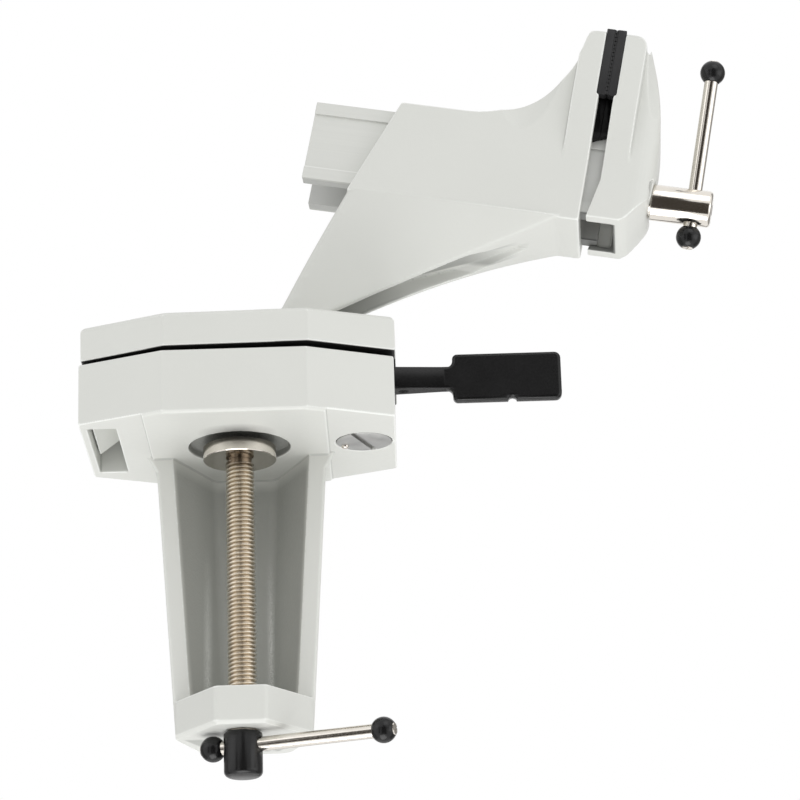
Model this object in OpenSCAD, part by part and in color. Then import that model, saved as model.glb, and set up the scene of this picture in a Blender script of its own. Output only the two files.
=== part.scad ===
// Clamp-on table vise with a ball joint.
// A cast C clamp carries a ball between two octagonal sockets, and the ball carries
// a screw vise that runs on an extruded rail.
// The origin is where the clamp spindle's axis meets the face that rests on the table.
// +Z is up and +Y points to the clamp's column.

/* [Head] */
// Width of the head, side to side
head_w = 109.6; // [106:0.2:124]
// Depth of the head, front to back
head_d = 84; // [78:0.2:92]
// Length of the front and rear flats
front_flat = 50; // [42:1:60]
// Length of the two side flats
side_flat = 58; // [48:0.2:60]
// Height of the head block, from the table seat to the joint gap
head_h = 23; // [22:0.5:28]
// Thickness of the clamp plate
plate_t = 12.6; // [10:0.2:14]
// Joint gap between head and plate at the hook side
joint_gap = 1.2; // [0.8:0.1:2]
// Angle by which the joint gap opens towards the clamp screw
gap_angle = 0.5; // [0.4:0.1:1.2]
// Bevel on the outer edges of the castings
edge_bevel = 0.9; // [0.5:0.1:2]
// Offset of the head from the spindle's axis, towards the clamp screw
head_shift = 0.5; // [0:0.1:1]
// Offset of the plate from the head, towards the clamp screw
plate_shift = 0.8; // [0:0.1:1]
// Offset of the head's middle behind the spindle's axis
head_back = 2; // [0:0.1:2.4]
// Step from the table seat up to the wings beside it
seat_step = 0.8; // [0.3:0.1:1]
// Diameter of the round recess above the pressure pad
recess_d = 36; // [30:1:40]
// Depth of the round recess above the pressure pad
recess_h = 3; // [2:0.5:3.5]

/* [Hook] */
// Width of the slot that takes the plate's tongue
slot_w = 10; // [9:0.5:12]
// Length of that slot
slot_l = 48; // [40:1:50]
// Wall between the slot and the side of the head
slot_wall = 2.6; // [2.4:0.1:4]
// Length of the tongue along the slot
tongue_l = 36; // [28:1:39]
// Diameter of the bead that hooks the tongue into the head
bead_d = 5.2; // [4:0.2:6]
// Height of the bead above the table seat
bead_z = 13; // [11:0.5:15]

/* [Clamp screw and lever] */
// Distance of the clamp screw from the side of the head
screw_in = 10.8; // [10.4:0.1:12]
// Diameter of the screw's slotted head
screw_head_d = 19.6; // [16:0.2:20]
// Height of the screw's head
screw_head_h = 5; // [4:0.5:7]
// Diameter of the screw's shank
screw_d = 10; // [8:0.5:11]
// Width of the driver slot
driver_slot = 2; // [1.5:0.1:3]
// Direction of the driver slot
driver_angle = 68; // [0:1:180]
// Diameter of the locking pin in the screw head
lock_pin_d = 2.8; // [2:0.1:3.2]
// Diameter of the lever's hub
hub_d = 18; // [16:0.5:19]
// Height of the lever's hub and arm
arm_h = 8.2; // [6:0.2:9]
// Lower edge of the lever's hub above the table seat
lever_z = 19.3; // [19:0.1:20.4]
// Thickness of the lever's arm at its hub
arm_t = 9.3; // [7:0.1:10]
// Thickness of the lever's handle
handle_t = 4.4; // [3.5:0.1:6]
// Length of the handle
handle_l = 38.6; // [30:0.2:50]
// Height of the handle
handle_h = 17.6; // [14:0.2:22]
// Reach of the arm, from the screw to the handle
arm_reach = 32; // [28:1:44]
// Swing of the lever when it is loosened
lever_swing = 40; // [20:1:42]

/* [Column and foot] */
// Width of the column at the head
col_top_w = 61; // [58:0.5:66]
// Width of the column at the foot
col_foot_w = 47.8; // [46:0.2:56]
// Distance from the spindle to the column's front edges
throat = 9.5; // [8:0.5:14]
// Back of the column at the head, behind the spindle
col_top_back = 43; // [41:0.5:48]
// Back of the column at the foot, behind the spindle
col_foot_back = 35.5; // [34:0.5:41]
// Wall of the column
col_wall = 5; // [4:0.5:6]
// Width of the channel floor at the head
floor_top_w = 26; // [20:1:32]
// Width of the channel floor at the foot
floor_foot_w = 20; // [16:1:24]
// Depth of the throat, from the table seat down to the foot
jaw_drop = 89; // [70:1:110]
// Height of the foot
foot_h = 13.4; // [11:0.2:18]
// Distance from the spindle to the front of the foot's boss
boss_front = 12; // [10:0.5:16]
// Width of the boss's front face
boss_w = 17.6; // [14:0.2:22]

/* [Clamp spindle] */
// Diameter of the clamp spindle's thread
spindle_d = 10; // [8:0.5:12]
// Diameter of the pressure pad
pad_d = 25.8; // [20:0.2:29]
// Thickness of the pressure pad
pad_t = 4.2; // [3:0.2:6]
// Gap between the pad and the table seat when the clamp is closed
pad_gap = 0.6; // [0.3:0.1:2]
// Diameter of the spindle's tip in the pad
tip_d = 7; // [5:0.5:8]
// Diameter of the washer that keeps the pad on the spindle
washer_d = 12; // [10:0.5:14]
// Thickness of that washer
washer_t = 1.4; // [1:0.1:2]
// Diameter of the black knob on the spindle's lower end
knob_d = 13.4; // [12.4:0.2:16]
// Height of that knob
knob_h = 15.4; // [14:0.2:20]
// Distance from the knob's top down to the bar
knob_bar_drop = 4.6; // [4:0.1:6]
// Direction of the clamp bar in plan
clamp_bar_turn = -19.9; // [-90:0.1:90]

/* [Bars] */
// Diameter of the two turning bars
bar_d = 5; // [4:0.1:5.4]
// Distance between a bar's two ball ends, from middle to middle
bar_l = 62.6; // [52:0.2:80]
// Diameter of the ball ends
bar_ball_d = 9; // [8:0.1:10]
// Diameter of the bar's thinner ends inside the balls
bar_tip_d = 3.6; // [2.6:0.1:3.8]
// Lean of the vise bar from upright, about the vise spindle
vise_bar_lean = 10.6; // [-90:0.1:90]

/* [Ball joint] */
// Diameter of the ball
ball_d = 36; // [34:0.5:37]
// Height of the ball's middle above the head block
ball_rise = 1; // [0.5:0.1:1.5]
// Height of the plate's seat ring above the ball's middle
seat_ring = 4.6; // [4:0.1:5]
// Diameter of the neck above the ball
neck_d = 17; // [14:0.5:17.6]
// Angle from the vise's upright to its neck
neck_angle = 33.5; // [28:0.5:33.5]
// Tilt of the vise as it is set, jaws down
vise_tilt = 11.5; // [0:0.5:11.5]
// Turn of the vise as it is set, jaws forward
vise_turn = -4; // [-180:1:180]
// Roll of the vise as it is set
vise_roll = -2; // [-4:0.5:4]

/* [Vise body] */
// Distance from the ball to the fixed jaw's face, along the rail
jaw_x = 111; // [108:0.5:124]
// Underside of the body above the ball
body_z = 72.5; // [70:0.5:76]
// Top of the body above the ball
body_top = 109.6; // [109:0.1:114]
// Width of the body
body_w = 35; // [34:0.5:42]
// Top of the jaws above the ball
jaw_top = 146.5; // [138:0.5:156]
// Width of the jaws
jaw_w = 42; // [40:1:50]
// Thickness of the fixed jaw
jaw_t = 9.5; // [8:0.5:12]
// Body's left end at its underside, from the ball
body_left = 27.2; // [26:0.2:31]
// Lean of the body's left end, run over rise
left_lean = 0.367; // [0.3:0.001:0.4]
// Start of the flat underside, measured back from the jaw's face
chin = 8; // [6:0.5:10]
// Slope of the arm's lower edge, run over rise
arm_slope = 1.6; // [1.5:0.01:1.7]
// Half thickness of the arm's lower edge
arm_edge = 8.3; // [7.4:0.1:8.6]
// Radius of the sweep from the body up to the fixed jaw
sweep_r = 39.5; // [34:0.5:41]

/* [Rail and moving jaw] */
// Width of the rail
rail_w = 28; // [26:0.5:28.4]
// Height of the rail
rail_h = 30.2; // [28:0.2:30.6]
// Underside of the rail above the ball
rail_z = 76.7; // [76:0.1:77]
// Left end of the rail from the ball
rail_left = 9.8; // [-10:0.2:12]
// Height of the rail's bands
rail_band = 4.6; // [3:0.1:6]
// Depth of the panel between the bands
rail_panel = 0.8; // [0.4:0.1:1.2]
// Width of the space inside the rail
rail_core = 17.4; // [16.4:0.2:19]
// Opening of the jaws
jaw_travel = 45; // [30:1:45]
// Distance between the two jaws' faces when closed
jaw_gap = 5.3; // [4:0.1:7]
// Depth of the moving jaw at its back's crown
moving_jaw_t = 18.7; // [17:0.1:24]
// Thickness of the moving jaw's plate
moving_plate_t = 9; // [8:0.5:12]
// Underside of the moving jaw above the ball
moving_jaw_z = 74.4; // [70:0.2:75]
// Radius of the moving jaw's bulged back
back_r = 110; // [90:1:140]
// Height of the back's crown above the spindle
back_rise = 10.8; // [0:0.2:14]
// Reach of the moving jaw's nose towards the fixed jaw
jaw_nose = 3; // [1:0.1:3.4]
// Height of that nose
jaw_nose_h = 14.6; // [10:0.2:18]
// Depth of the rail's seat in the moving jaw
rail_seat = 5; // [4:0.5:6]
// Width of the pocket in the moving jaw's underside
under_pocket_w = 24.6; // [14:0.2:26]
// Length of the pocket in the moving jaw's underside
under_pocket_l = 6.6; // [5.4:0.2:9]
// Thickness of the jaw covers at their upper part
cover_t = 3.6; // [3:0.1:4.4]
// Height of the covers' upper part
cover_h = 26.4; // [20:0.2:28]
// Length of the covers' thinner tongue below that
cover_tongue = 16.5; // [12:0.5:18]
// Width of that tongue
cover_tongue_w = 34; // [32:0.5:35]
// How far the covers stand above the jaws
cover_proud = 1; // [0.5:0.1:2.5]

/* [Vise spindle] */
// Height of the spindle's axis above the rail's underside
spindle_rise = 14.1; // [13.5:0.1:15]
// Diameter of the vise spindle's thread
vise_spindle_d = 10; // [8:0.5:10.4]
// Length of the thread, from the moving jaw's back
thread_l = 99; // [93:1:104]
// Diameter of the spindle's head
spindle_head_d = 13.1; // [12:0.1:15]
// Length of the spindle's head
spindle_head_l = 21.5; // [18:0.5:24]
// Distance from the moving jaw's crown to the bar
spindle_bar_x = 14.4; // [12.5:0.1:15]
// Length of the nut
nut_l = 12; // [10:0.5:12]
// Width of the nut's leg
nut_leg_w = 6; // [5:0.2:7]
// Depth of the nut's leg in the body's floor
nut_leg_deep = 6; // [5:0.2:6.2]
// Distance from the jaw's face back to the nut
nut_back = 25; // [24.5:0.5:26]
// Diameter of the pin through the nut's leg
nut_pin_d = 3; // [2.5:0.1:3.4]
// Diameter of the retaining ring on the spindle
ring_d = 15; // [13:0.2:16]
// Diameter of the screws that hold the rail to the moving jaw
rail_screw_d = 3.2; // [2.6:0.1:3.4]
// Length of those screws inside the rail
screw_bite = 8.5; // [6:0.5:10]
// Distance from the rail's end to those screws' heads
screw_reach = 9.2; // [7:0.2:9.4]

/* [Hidden] */
// Clearance of pieces that turn or slide in one another
run_fit = 0.05;
// Clearance of pieces that sit in one another without moving
seat_fit = 0.04;
// Clearance of loose pieces that move past one another
free_gap = 0.3;
// Clearance round the ball
ball_gap = 0.1;
// Overlap of solids that are joined
weld = 1;
$fn = 64;

paint = [0.87, 0.88, 0.87];
nickel = [0.82, 0.79, 0.74];
steel = [0.62, 0.62, 0.61];
bare_aluminium = [0.84, 0.84, 0.83];
black = [0.09, 0.09, 0.09];

ball_r = ball_d / 2;
ball_z = head_h + ball_rise;
neck_r = neck_d / 2;
foot_z = -jaw_drop - foot_h;
seat_w = col_top_w + 2;
screw_x = head_w / 2 - screw_in;
slot_x = head_shift - head_w / 2 + slot_wall;
bead_x = slot_x + slot_w - 1.1;
tongue_w = slot_w - 2.5;
window_z = lever_z - 1;
arm_top = lever_z + arm_h;
handle_mid = lever_z + arm_h / 2;
pad_z = -pad_gap - pad_t;
knob_z = foot_z - pad_gap;
knob_bar_z = knob_z - knob_bar_drop;
bar_end = bar_ball_d / 2 - 0.3;
clamp_bar_mid = bar_l / 2 - knob_d / 2 - bar_ball_d / 2;

body_hw = body_w / 2;
jaw_hw = jaw_w / 2;
spindle_z = rail_z + spindle_rise;
cover_mid = jaw_x + jaw_gap / 2;
moving_x = jaw_x + jaw_gap;
moving_back = moving_x + moving_jaw_t;
rail_right = moving_x + rail_seat;
rail_mid = rail_z + rail_h / 2;
back_seat = moving_back - back_r + sqrt(pow(back_r, 2) - pow(back_rise, 2));
bar_x = moving_back + spindle_bar_x;
vise_bar_mid = bar_l / 2 - spindle_head_d / 2 - bar_ball_d / 2;
cover_rabbet = cover_t - jaw_gap / 2;
cover_low = jaw_top + cover_proud - cover_h;
nut_x = jaw_x - nut_back;

// Outline of head and clamp plate
module octagon(inset, shift) {
    a = front_flat / 2 - inset * 0.4;
    b = head_d / 2 - inset;
    c = head_w / 2 - inset;
    d = side_flat / 2 - inset * 0.4;
    translate([head_shift + shift, head_back])
        polygon([[a, -b], [c, -d], [c, d], [a, b], [-a, b], [-c, d], [-c, -d], [-a, -b]]);
}

// Octagonal slab with both edges bevelled
module octagon_slab(h, low_bevel, top_bevel, shift) {
    skin = 0.01;
    hull() {
        linear_extrude(skin) octagon(low_bevel, shift);
        translate([0, 0, low_bevel]) linear_extrude(h - low_bevel - top_bevel) octagon(0, shift);
        translate([0, 0, h - skin]) linear_extrude(skin) octagon(top_bevel, shift);
    }
}

// Upright post with round edges, one corner of a column section
module corner_post(x, y, z, r) {
    translate([x, y, z]) cylinder(r = r, h = 0.02, $fn = 32);
}

// Solid that tapers from a section at the head to one at the foot
module taper(front_top, back_top, y_back_top, front_foot, back_foot, y_back_foot,
             y_front, z_low, z_top, r_back) {
    edge = 1.2;
    hull() for (s = [-1, 1]) {
        corner_post(s * (front_top / 2 - edge), y_front + edge, z_top, edge);
        corner_post(s * (back_top / 2 - r_back), y_back_top - r_back, z_top, r_back);
        corner_post(s * (front_foot / 2 - edge), y_front + edge, z_low, edge);
        corner_post(s * (back_foot / 2 - r_back), y_back_foot - r_back, z_low, r_back);
    }
}

// Foot with the boss that carries the clamp spindle
module foot() {
    edge = 2.4;
    lip = 1.2;
    hull() for (s = [-1, 1], k = [0, 1]) {
        z = k == 0 ? foot_z : -jaw_drop - 0.02;
        r = k == 0 ? edge - lip : edge;
        corner_post(s * (boss_w / 2 - edge / 2), -boss_front + edge, z, r);
        corner_post(s * (boss_w / 2 - edge / 2), -boss_front + edge, foot_z + lip, edge);
        corner_post(s * (col_foot_w / 2 - edge), throat, z, r);
        corner_post(s * (col_foot_w / 2 - edge), throat, foot_z + lip, edge);
    }
}

// Space swept by the lever between its two limits
module lever_window(z_low, z_top) {
    translate([screw_x, 0, z_low]) cylinder(d = hub_d + 2, h = z_top - z_low);
    for (turn = [-lever_swing, 0])
        translate([screw_x, 0, z_low]) rotate(turn)
            translate([0, -arm_t / 2 - 1, 0]) cube([head_w, arm_t + 2, z_top - z_low]);
    translate([screw_x, 0, z_low])
        linear_extrude(z_top - z_low)
            polygon([[0, 0], [head_w, 0], head_w * [cos(lever_swing), -sin(lever_swing)]]);
}

module clamp_frame() {
    flare = 3;
    col_back_w = floor_top_w + 2 * col_wall + 4;
    color(paint) difference() {
        union() {
            difference() {
                octagon_slab(head_h, edge_bevel, edge_bevel / 2, 0);
                for (s = [-1, 1])
                    translate([s * head_w, 0, 0])
                        cube([2 * head_w - seat_w, 2 * head_d, 2 * seat_step], center = true);
            }
            difference() {
                union() {
                    taper(col_top_w, col_back_w, col_top_back, col_foot_w,
                          floor_foot_w + 2 * col_wall + 4, col_foot_back, throat, foot_z, weld, 7);
                    taper(col_top_w + 2 * flare, col_back_w, col_top_back, col_top_w - 1.6,
                          col_back_w - 1, col_top_back - 1, throat, -2 * flare, weld, 7);
                }
                taper(col_top_w - 2 * col_wall, floor_top_w, col_top_back - col_wall,
                      col_foot_w - 2 * col_wall + 2, floor_foot_w, col_foot_back - col_wall,
                      throat - 4, -jaw_drop, 0, 5);
            }
            foot();
        }
        translate([0, 0, ball_z]) sphere(r = ball_r + ball_gap, $fn = 96);
        translate([0, 0, -weld]) cylinder(d = recess_d, h = recess_h + weld, $fn = 96);
        translate([slot_x, head_back - slot_l / 2, -weld]) cube([slot_w, slot_l, head_h + 2 * weld]);
        translate([bead_x, head_back - slot_l / 2, bead_z]) rotate([-90, 0, 0])
            cylinder(d = bead_d + 2 * free_gap, h = slot_l);
        translate([screw_x, 0, -weld]) cylinder(d = screw_head_d + 0.4, h = screw_head_h + 0.4 + weld);
        translate([screw_x, 0, 0]) cylinder(d = screw_d + 0.4, h = head_h + weld);
        lever_window(window_z, head_h + weld);
        translate([0, 0, foot_z - weld]) cylinder(d = spindle_d + 2 * run_fit, h = foot_h + 2 * weld);
    }
}

// Turns the clamp plate about its hook by the angle of the joint gap
module on_hook() {
    translate([bead_x, 0, bead_z]) rotate([0, -gap_angle, 0]) translate([-bead_x, 0, -bead_z]) children();
}

module clamp_plate() {
    low = head_h + joint_gap;
    heel = 5;
    rise = 5.5;
    tongue_x = slot_x + 0.6;
    color(paint) difference() {
        on_hook() difference() {
            union() {
                translate([0, 0, low]) octagon_slab(plate_t, edge_bevel / 2, edge_bevel * 1.4, plate_shift);
                translate([0, tongue_l / 2, 0]) rotate([90, 0, 0]) linear_extrude(tongue_l)
                    polygon([[tongue_x, low + weld], [tongue_x, heel], [tongue_x + tongue_w, heel + rise],
                             [tongue_x + tongue_w, low + weld]]);
                translate([bead_x, -tongue_l / 2, bead_z]) rotate([-90, 0, 0])
                    cylinder(d = bead_d, h = tongue_l);
            }
        }
        translate([0, 0, ball_z]) sphere(r = ball_r + ball_gap, $fn = 96);
        translate([0, 0, ball_z + seat_ring]) {
            lip_r = sqrt(pow(ball_r + ball_gap, 2) - pow(seat_ring, 2));
            cylinder(r1 = lip_r, r2 = lip_r + 2 * plate_t, h = 2 * plate_t, $fn = 96);
        }
        translate([screw_x, 0, 0]) cylinder(d = screw_d + 0.5, h = ball_z + 3 * plate_t);
        lever_window(head_h - weld, arm_top + 1);
    }
}

module clamp_screw() {
    color(steel) translate([screw_x, 0, 0]) difference() {
        union() {
            translate([0, 0, seat_step]) cylinder(d = screw_head_d, h = screw_head_h - seat_step);
            cylinder(d = screw_d, h = head_h + plate_t);
        }
        translate([0, 0, -weld]) cylinder(d = screw_d + weld, h = seat_step + weld);
        rotate(driver_angle) translate([-head_w / 2, -driver_slot / 2, -weld])
            cube([head_w, driver_slot, weld + 2]);
        lock_pin_place() translate([0, 0, -weld]) cylinder(d = lock_pin_d + 2 * seat_fit, h = 5);
    }
}

// Place of the locking pin, near the rim of the screw's head
module lock_pin_place() {
    rotate(150) translate([screw_head_d / 2 - lock_pin_d / 2 - 0.5, 0, 0]) children();
}

module screw_lock_pin() {
    color(nickel) translate([screw_x, 0, 0]) lock_pin_place()
        translate([0, 0, seat_step]) cylinder(d = lock_pin_d, h = 4 - seat_step);
}

module lever() {
    corner = 4;
    shoulder = 6;
    notch_x = 21;
    handle_x = screw_x + arm_reach;
    color(black) difference() {
        union() {
            translate([screw_x, 0, lever_z]) cylinder(d = hub_d, h = arm_h);
            translate([0, 0, lever_z]) linear_extrude(arm_h)
                polygon([[screw_x, -arm_t / 2], [handle_x + shoulder, -handle_t / 2],
                         [handle_x + shoulder, handle_t / 2], [screw_x, arm_t / 2]]);
            translate([handle_x, handle_t / 2, handle_mid]) rotate([90, 0, 0]) linear_extrude(handle_t)
                translate([corner, -handle_h / 2 + corner]) offset(corner)
                    square([handle_l - 2 * corner, handle_h - 2 * corner]);
        }
        translate([screw_x, 0, 0]) cylinder(d = screw_d + 2 * seat_fit, h = 2 * head_h);
        translate([handle_x + notch_x, 0, handle_mid - handle_h / 2 - 0.4]) rotate([90, 0, 0])
            cylinder(r = 1.6, h = 2 * handle_t, center = true);
        lever_pin_place() translate([0, 0, -weld]) cylinder(d = 3.6 + 2 * seat_fit, h = 4.2 + weld);
    }
}

// Place of the small pin under the lever's arm
module lever_pin_place() {
    translate([screw_x + hub_d / 2 + 5.5, 0, lever_z]) children();
}

module lever_pin() {
    color(steel) lever_pin_place() cylinder(d = 3.6, h = 4.2);
}

// Turns and tilts the vise about the ball as it is set
module on_ball() {
    translate([0, 0, ball_z]) rotate([vise_roll, vise_tilt, vise_turn]) children();
}

module ball() {
    color(steel) on_ball() sphere(r = ball_r, $fn = 96);
}

// Solid cut to a profile in the plane of rail and uprights, with the given half width
module side_profile(half_width) {
    translate([0, half_width, 0]) rotate([90, 0, 0]) linear_extrude(2 * half_width) children();
}

// Half outline of one corner of an arm section, as an arc of four points
function corner_arc(x, y, r, from) =
    [for (k = [0:3]) [x + r * cos(from + 30 * k), y + r * sin(from + 30 * k)]];

// The arm's lower edge runs from the neck to the chin and sags a little between
function arm_share(z) = (z - neck_low) / (body_z - neck_low);
function arm_left(z) = body_left - (body_z - z) * left_lean - 0.6 * sin(180 * arm_share(z));
function arm_right(z) = jaw_x - chin - (body_z - z) * arm_slope - 2.5 * sin(180 * arm_share(z))
    - 3.6 * (1 - pow(arm_share(z), 3.5));
function arm_half_left(z) = neck_r + (body_hw - neck_r) * pow(arm_share(z), 1.2);
function arm_half_right(z) = arm_edge + (body_hw - arm_edge) * pow(arm_share(z), 3.4);
neck_low = 24;
pocket_low = 28;
pocket_top = neck_low + 0.9 * (body_z - neck_low);

// Section of the arm at one height, as a ring of points
function arm_ring(z) =
    let (l = arm_left(z), r = arm_right(z), a = arm_half_left(z), b = arm_half_right(z),
         rl = 3, rr = 1.6)
    [for (p = concat(corner_arc(r - rr, b - rr, rr, 0), corner_arc(l + rl, a - rl, rl, 90),
                     corner_arc(l + rl, -a + rl, rl, 180), corner_arc(r - rr, -b + rr, rr, 270)))
        [p[0], p[1], z]];

// Section of the pocket that hollows the arm from below
function pocket_ring(z) =
    let (r = arm_right(z), left = 0.93 - arm_share(z), b = min(arm_half_right(z) - 2.4, 1.1 + 30 * left),
         deep = 2 + 9 * min(1, left / 0.35))
    [for (p = concat(corner_arc(r + 4, b - 1, 1, 0), corner_arc(r - deep, b - 1, 1, 90),
                     corner_arc(r - deep, -b + 1, 1, 180), corner_arc(r + 4, -b + 1, 1, 270)))
        [p[0], p[1], z]];

// Closed skin through rings of points that lie one above another
module skin(rings) {
    n = len(rings[0]);
    last = len(rings) - 1;
    sides = [for (i = [0:last - 1], j = [0:n - 1])
        [i * n + j, (i + 1) * n + j, (i + 1) * n + (j + 1) % n, i * n + (j + 1) % n]];
    low = [for (j = [0:n - 1]) j];
    top = [for (j = [n - 1:-1:0]) last * n + j];
    polyhedron(points = [for (r = rings) each r], faces = concat([low], sides, [top]), convexity = 6);
}

// Outline of a jaw across its width, narrow below and wide at the gripping height
module jaw_outline(low, narrow) {
    flare_low = body_top - 14;
    flare_top = body_top + 6;
    bevel = 1.2;
    polygon([[-narrow, low], [narrow, low], [narrow, flare_low], [jaw_hw, flare_top],
             [jaw_hw, jaw_top - bevel], [jaw_hw - bevel, jaw_top], [bevel - jaw_hw, jaw_top],
             [-jaw_hw, jaw_top - bevel], [-jaw_hw, flare_top], [-narrow, flare_low]]);
}

// Waste outside a jaw's rounded upper edge, on its left (-1) or right (1)
module top_round(x, r, side) {
    translate([x, 0, jaw_top - r]) mirror([side > 0 ? 1 : 0, 0, 0]) difference() {
        translate([-weld, -jaw_w, 0]) cube([weld + r, 2 * jaw_w, r + weld]);
        translate([r, 0, 0]) rotate([90, 0, 0]) cylinder(r = r, h = 3 * jaw_w, center = true);
    }
}

// Plate of a jaw, from x over the given thickness
module jaw_plate(x, thick, low, narrow) {
    translate([x, 0, 0]) rotate([90, 0, 90]) linear_extrude(thick) jaw_outline(low, narrow);
}

// Scoops that thin a jaw's sides behind its plate and run out lower down
module scoops(x, r, reach) {
    lean = 15;
    for (s = [-1, 1])
        translate([x, s * (r + reach), jaw_top]) rotate([s * lean, 0, 0])
            cylinder(r = r, h = 4 * jaw_w, center = true);
}

module vise_body() {
    levels = 20;
    scoop_r = 17;
    neck_l = 18;
    sweep_x = jaw_x - sweep_r - 7.3;
    edge_x = sweep_x + sqrt(pow(sweep_r, 2) - pow(body_top + sweep_r - jaw_top, 2));
    color(paint) on_ball() difference() {
        union() {
            difference() {
                union() {
                    difference() {
                        side_profile(body_hw)
                            polygon([[body_left, body_z],
                                     [body_left + (body_top - body_z) * left_lean, body_top],
                                     [sweep_x, body_top], [sweep_x, jaw_top], [jaw_x - 1, jaw_top],
                                     [jaw_x - 1, body_z]]);
                        scoops(jaw_x - jaw_t - scoop_r, scoop_r, 7);
                    }
                    jaw_plate(jaw_x - jaw_t, jaw_t, body_z, body_hw);
                }
                translate([sweep_x, 0, body_top + sweep_r]) rotate([90, 0, 0])
                    cylinder(r = sweep_r, h = 2 * jaw_w, center = true, $fn = 128);
            }
            skin([for (i = [0:levels]) arm_ring(neck_low + (body_z + weld - neck_low) * i / levels)]);
            rotate([0, neck_angle, 0]) cylinder(r = neck_r, h = ball_r + neck_l);
        }
        sphere(r = ball_r + ball_gap, $fn = 96);
        skin([for (i = [0:levels]) pocket_ring(pocket_low + (pocket_top - pocket_low) * i / levels)]);
        translate([-jaw_x, -rail_w / 2 - run_fit, rail_z - run_fit])
            cube([3 * jaw_x, rail_w + 2 * run_fit, rail_h + 2 * run_fit]);
        nut_leg(seat_fit);
        top_round(edge_x, 3, -1);
        translate([jaw_x - cover_rabbet, -jaw_w, cover_low])
            cube([2 * cover_rabbet, 2 * jaw_w, jaw_top]);
        nut_pin_place(seat_fit);
    }
}

// Place of the pin that holds the nut's leg, grown by a clearance
module nut_pin_place(grow) {
    translate([nut_x + nut_l / 2, body_hw - 4, rail_z - nut_leg_deep / 2]) rotate([90, 0, 0])
        cylinder(d = nut_pin_d + 2 * grow, h = body_w - 8);
}

// The nut's leg, which stands in the body's floor, grown by a clearance
module nut_leg(grow) {
    leg_l = 8;
    low = rail_z - nut_leg_deep - grow;
    translate([nut_x + (nut_l - leg_l) / 2 - grow, -nut_leg_w / 2 - grow, low])
        cube([leg_l + 2 * grow, nut_leg_w + 2 * grow, spindle_z - low]);
}

module spindle_nut() {
    block = rail_core - 1;
    color(steel) on_ball() difference() {
        union() {
            translate([nut_x, -block / 2, spindle_z - block / 2]) cube([nut_l, block, block]);
            nut_leg(0);
        }
        translate([0, 0, spindle_z]) rotate([0, 90, 0])
            cylinder(d = vise_spindle_d + 2 * run_fit, h = 2 * jaw_x);
        nut_pin_place(seat_fit);
    }
}

module nut_pin() {
    color(steel) on_ball() nut_pin_place(0);
}

// One jaw cover, drawn from the meeting plane towards its jaw; its tongue ends on a slope
module jaw_cover(end_low, end_high) {
    upper = cover_t - seat_fit;
    lower = jaw_gap / 2 - seat_fit;
    face_gap = 0.05;
    bevel = 0.6;
    end_z = cover_low - cover_tongue;
    difference() {
        union() {
            translate([0, jaw_hw - 0.5, 0]) rotate([90, 0, 0]) linear_extrude(jaw_w - 1)
                polygon([[face_gap, cover_low + cover_h], [upper, cover_low + cover_h],
                         [upper, cover_low + bevel], [upper - bevel, cover_low], [face_gap, cover_low]]);
            translate([0, cover_tongue_w / 2, 0]) rotate([90, 0, 0]) linear_extrude(cover_tongue_w)
                polygon([[face_gap, cover_low + weld], [lower, cover_low + weld],
                         [lower, end_z + end_high], [face_gap, end_z + end_low]]);
        }
        translate([-cover_t, -rail_w / 2 - free_gap, rail_z])
            cube([3 * cover_t, rail_w + 2 * free_gap, rail_h + free_gap]);
    }
}

module jaw_cover_fixed() {
    color(black) on_ball() translate([cover_mid, 0, 0]) mirror([1, 0, 0]) jaw_cover(1.1, 0);
}

module jaw_cover_moving() {
    color(black) on_ball() translate([cover_mid, 0, 0]) jaw_cover(1.1, 2.2);
}

// Section of the rail, open below
module rail_section() {
    a = rail_w / 2;
    b = a - rail_panel;
    z1 = rail_z + rail_band;
    z2 = rail_z + rail_h - rail_band;
    difference() {
        polygon([[-a, rail_z], [a, rail_z], [a, z1], [b, z1], [b, z2], [a, z2], [a, rail_z + rail_h],
                 [-a, rail_z + rail_h], [-a, z2], [-b, z2], [-b, z1], [-a, z1]]);
        translate([-rail_core / 2, rail_z - weld]) square([rail_core, spindle_rise + rail_core / 2 + weld]);
    }
}

module rail() {
    notch = 9;
    color(bare_aluminium) on_ball() difference() {
        translate([rail_left, 0, 0]) rotate([90, 0, 90])
            linear_extrude(rail_right - rail_left) rail_section();
        translate([moving_x + free_gap, -rail_w, rail_z - weld])
            cube([rail_right, 2 * rail_w, notch + weld]);
        rail_screw_places(seat_fit, rail_right - screw_bite - 0.5);
    }
}

// Shanks of the two screws that hold the rail, grown by a clearance
module rail_screw_places(grow, from) {
    y = (rail_w / 2 - rail_panel + rail_core / 2) / 2;
    for (s = [-1, 1])
        translate([from, s * y, spindle_z]) rotate([0, 90, 0])
            cylinder(d = rail_screw_d + 2 * grow, h = moving_back - from + weld);
}

// Counterbores for those screws' heads in the moving jaw's back
module rail_screw_heads(grow, top) {
    y = (rail_w / 2 - rail_panel + rail_core / 2) / 2;
    for (s = [-1, 1])
        translate([rail_right + screw_reach, s * y, spindle_z]) rotate([0, 90, 0])
            cylinder(d = 2 * rail_screw_d - 0.2 + 2 * grow, h = top);
}

module rail_screws() {
    head = 2.6;
    color(steel) on_ball() {
        intersection() {
            rail_screw_places(0, rail_right - screw_bite);
            translate([0, -jaw_w, 0]) cube([rail_right + screw_reach + head, 2 * jaw_w, jaw_top]);
        }
        rail_screw_heads(0, head);
    }
}

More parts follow.
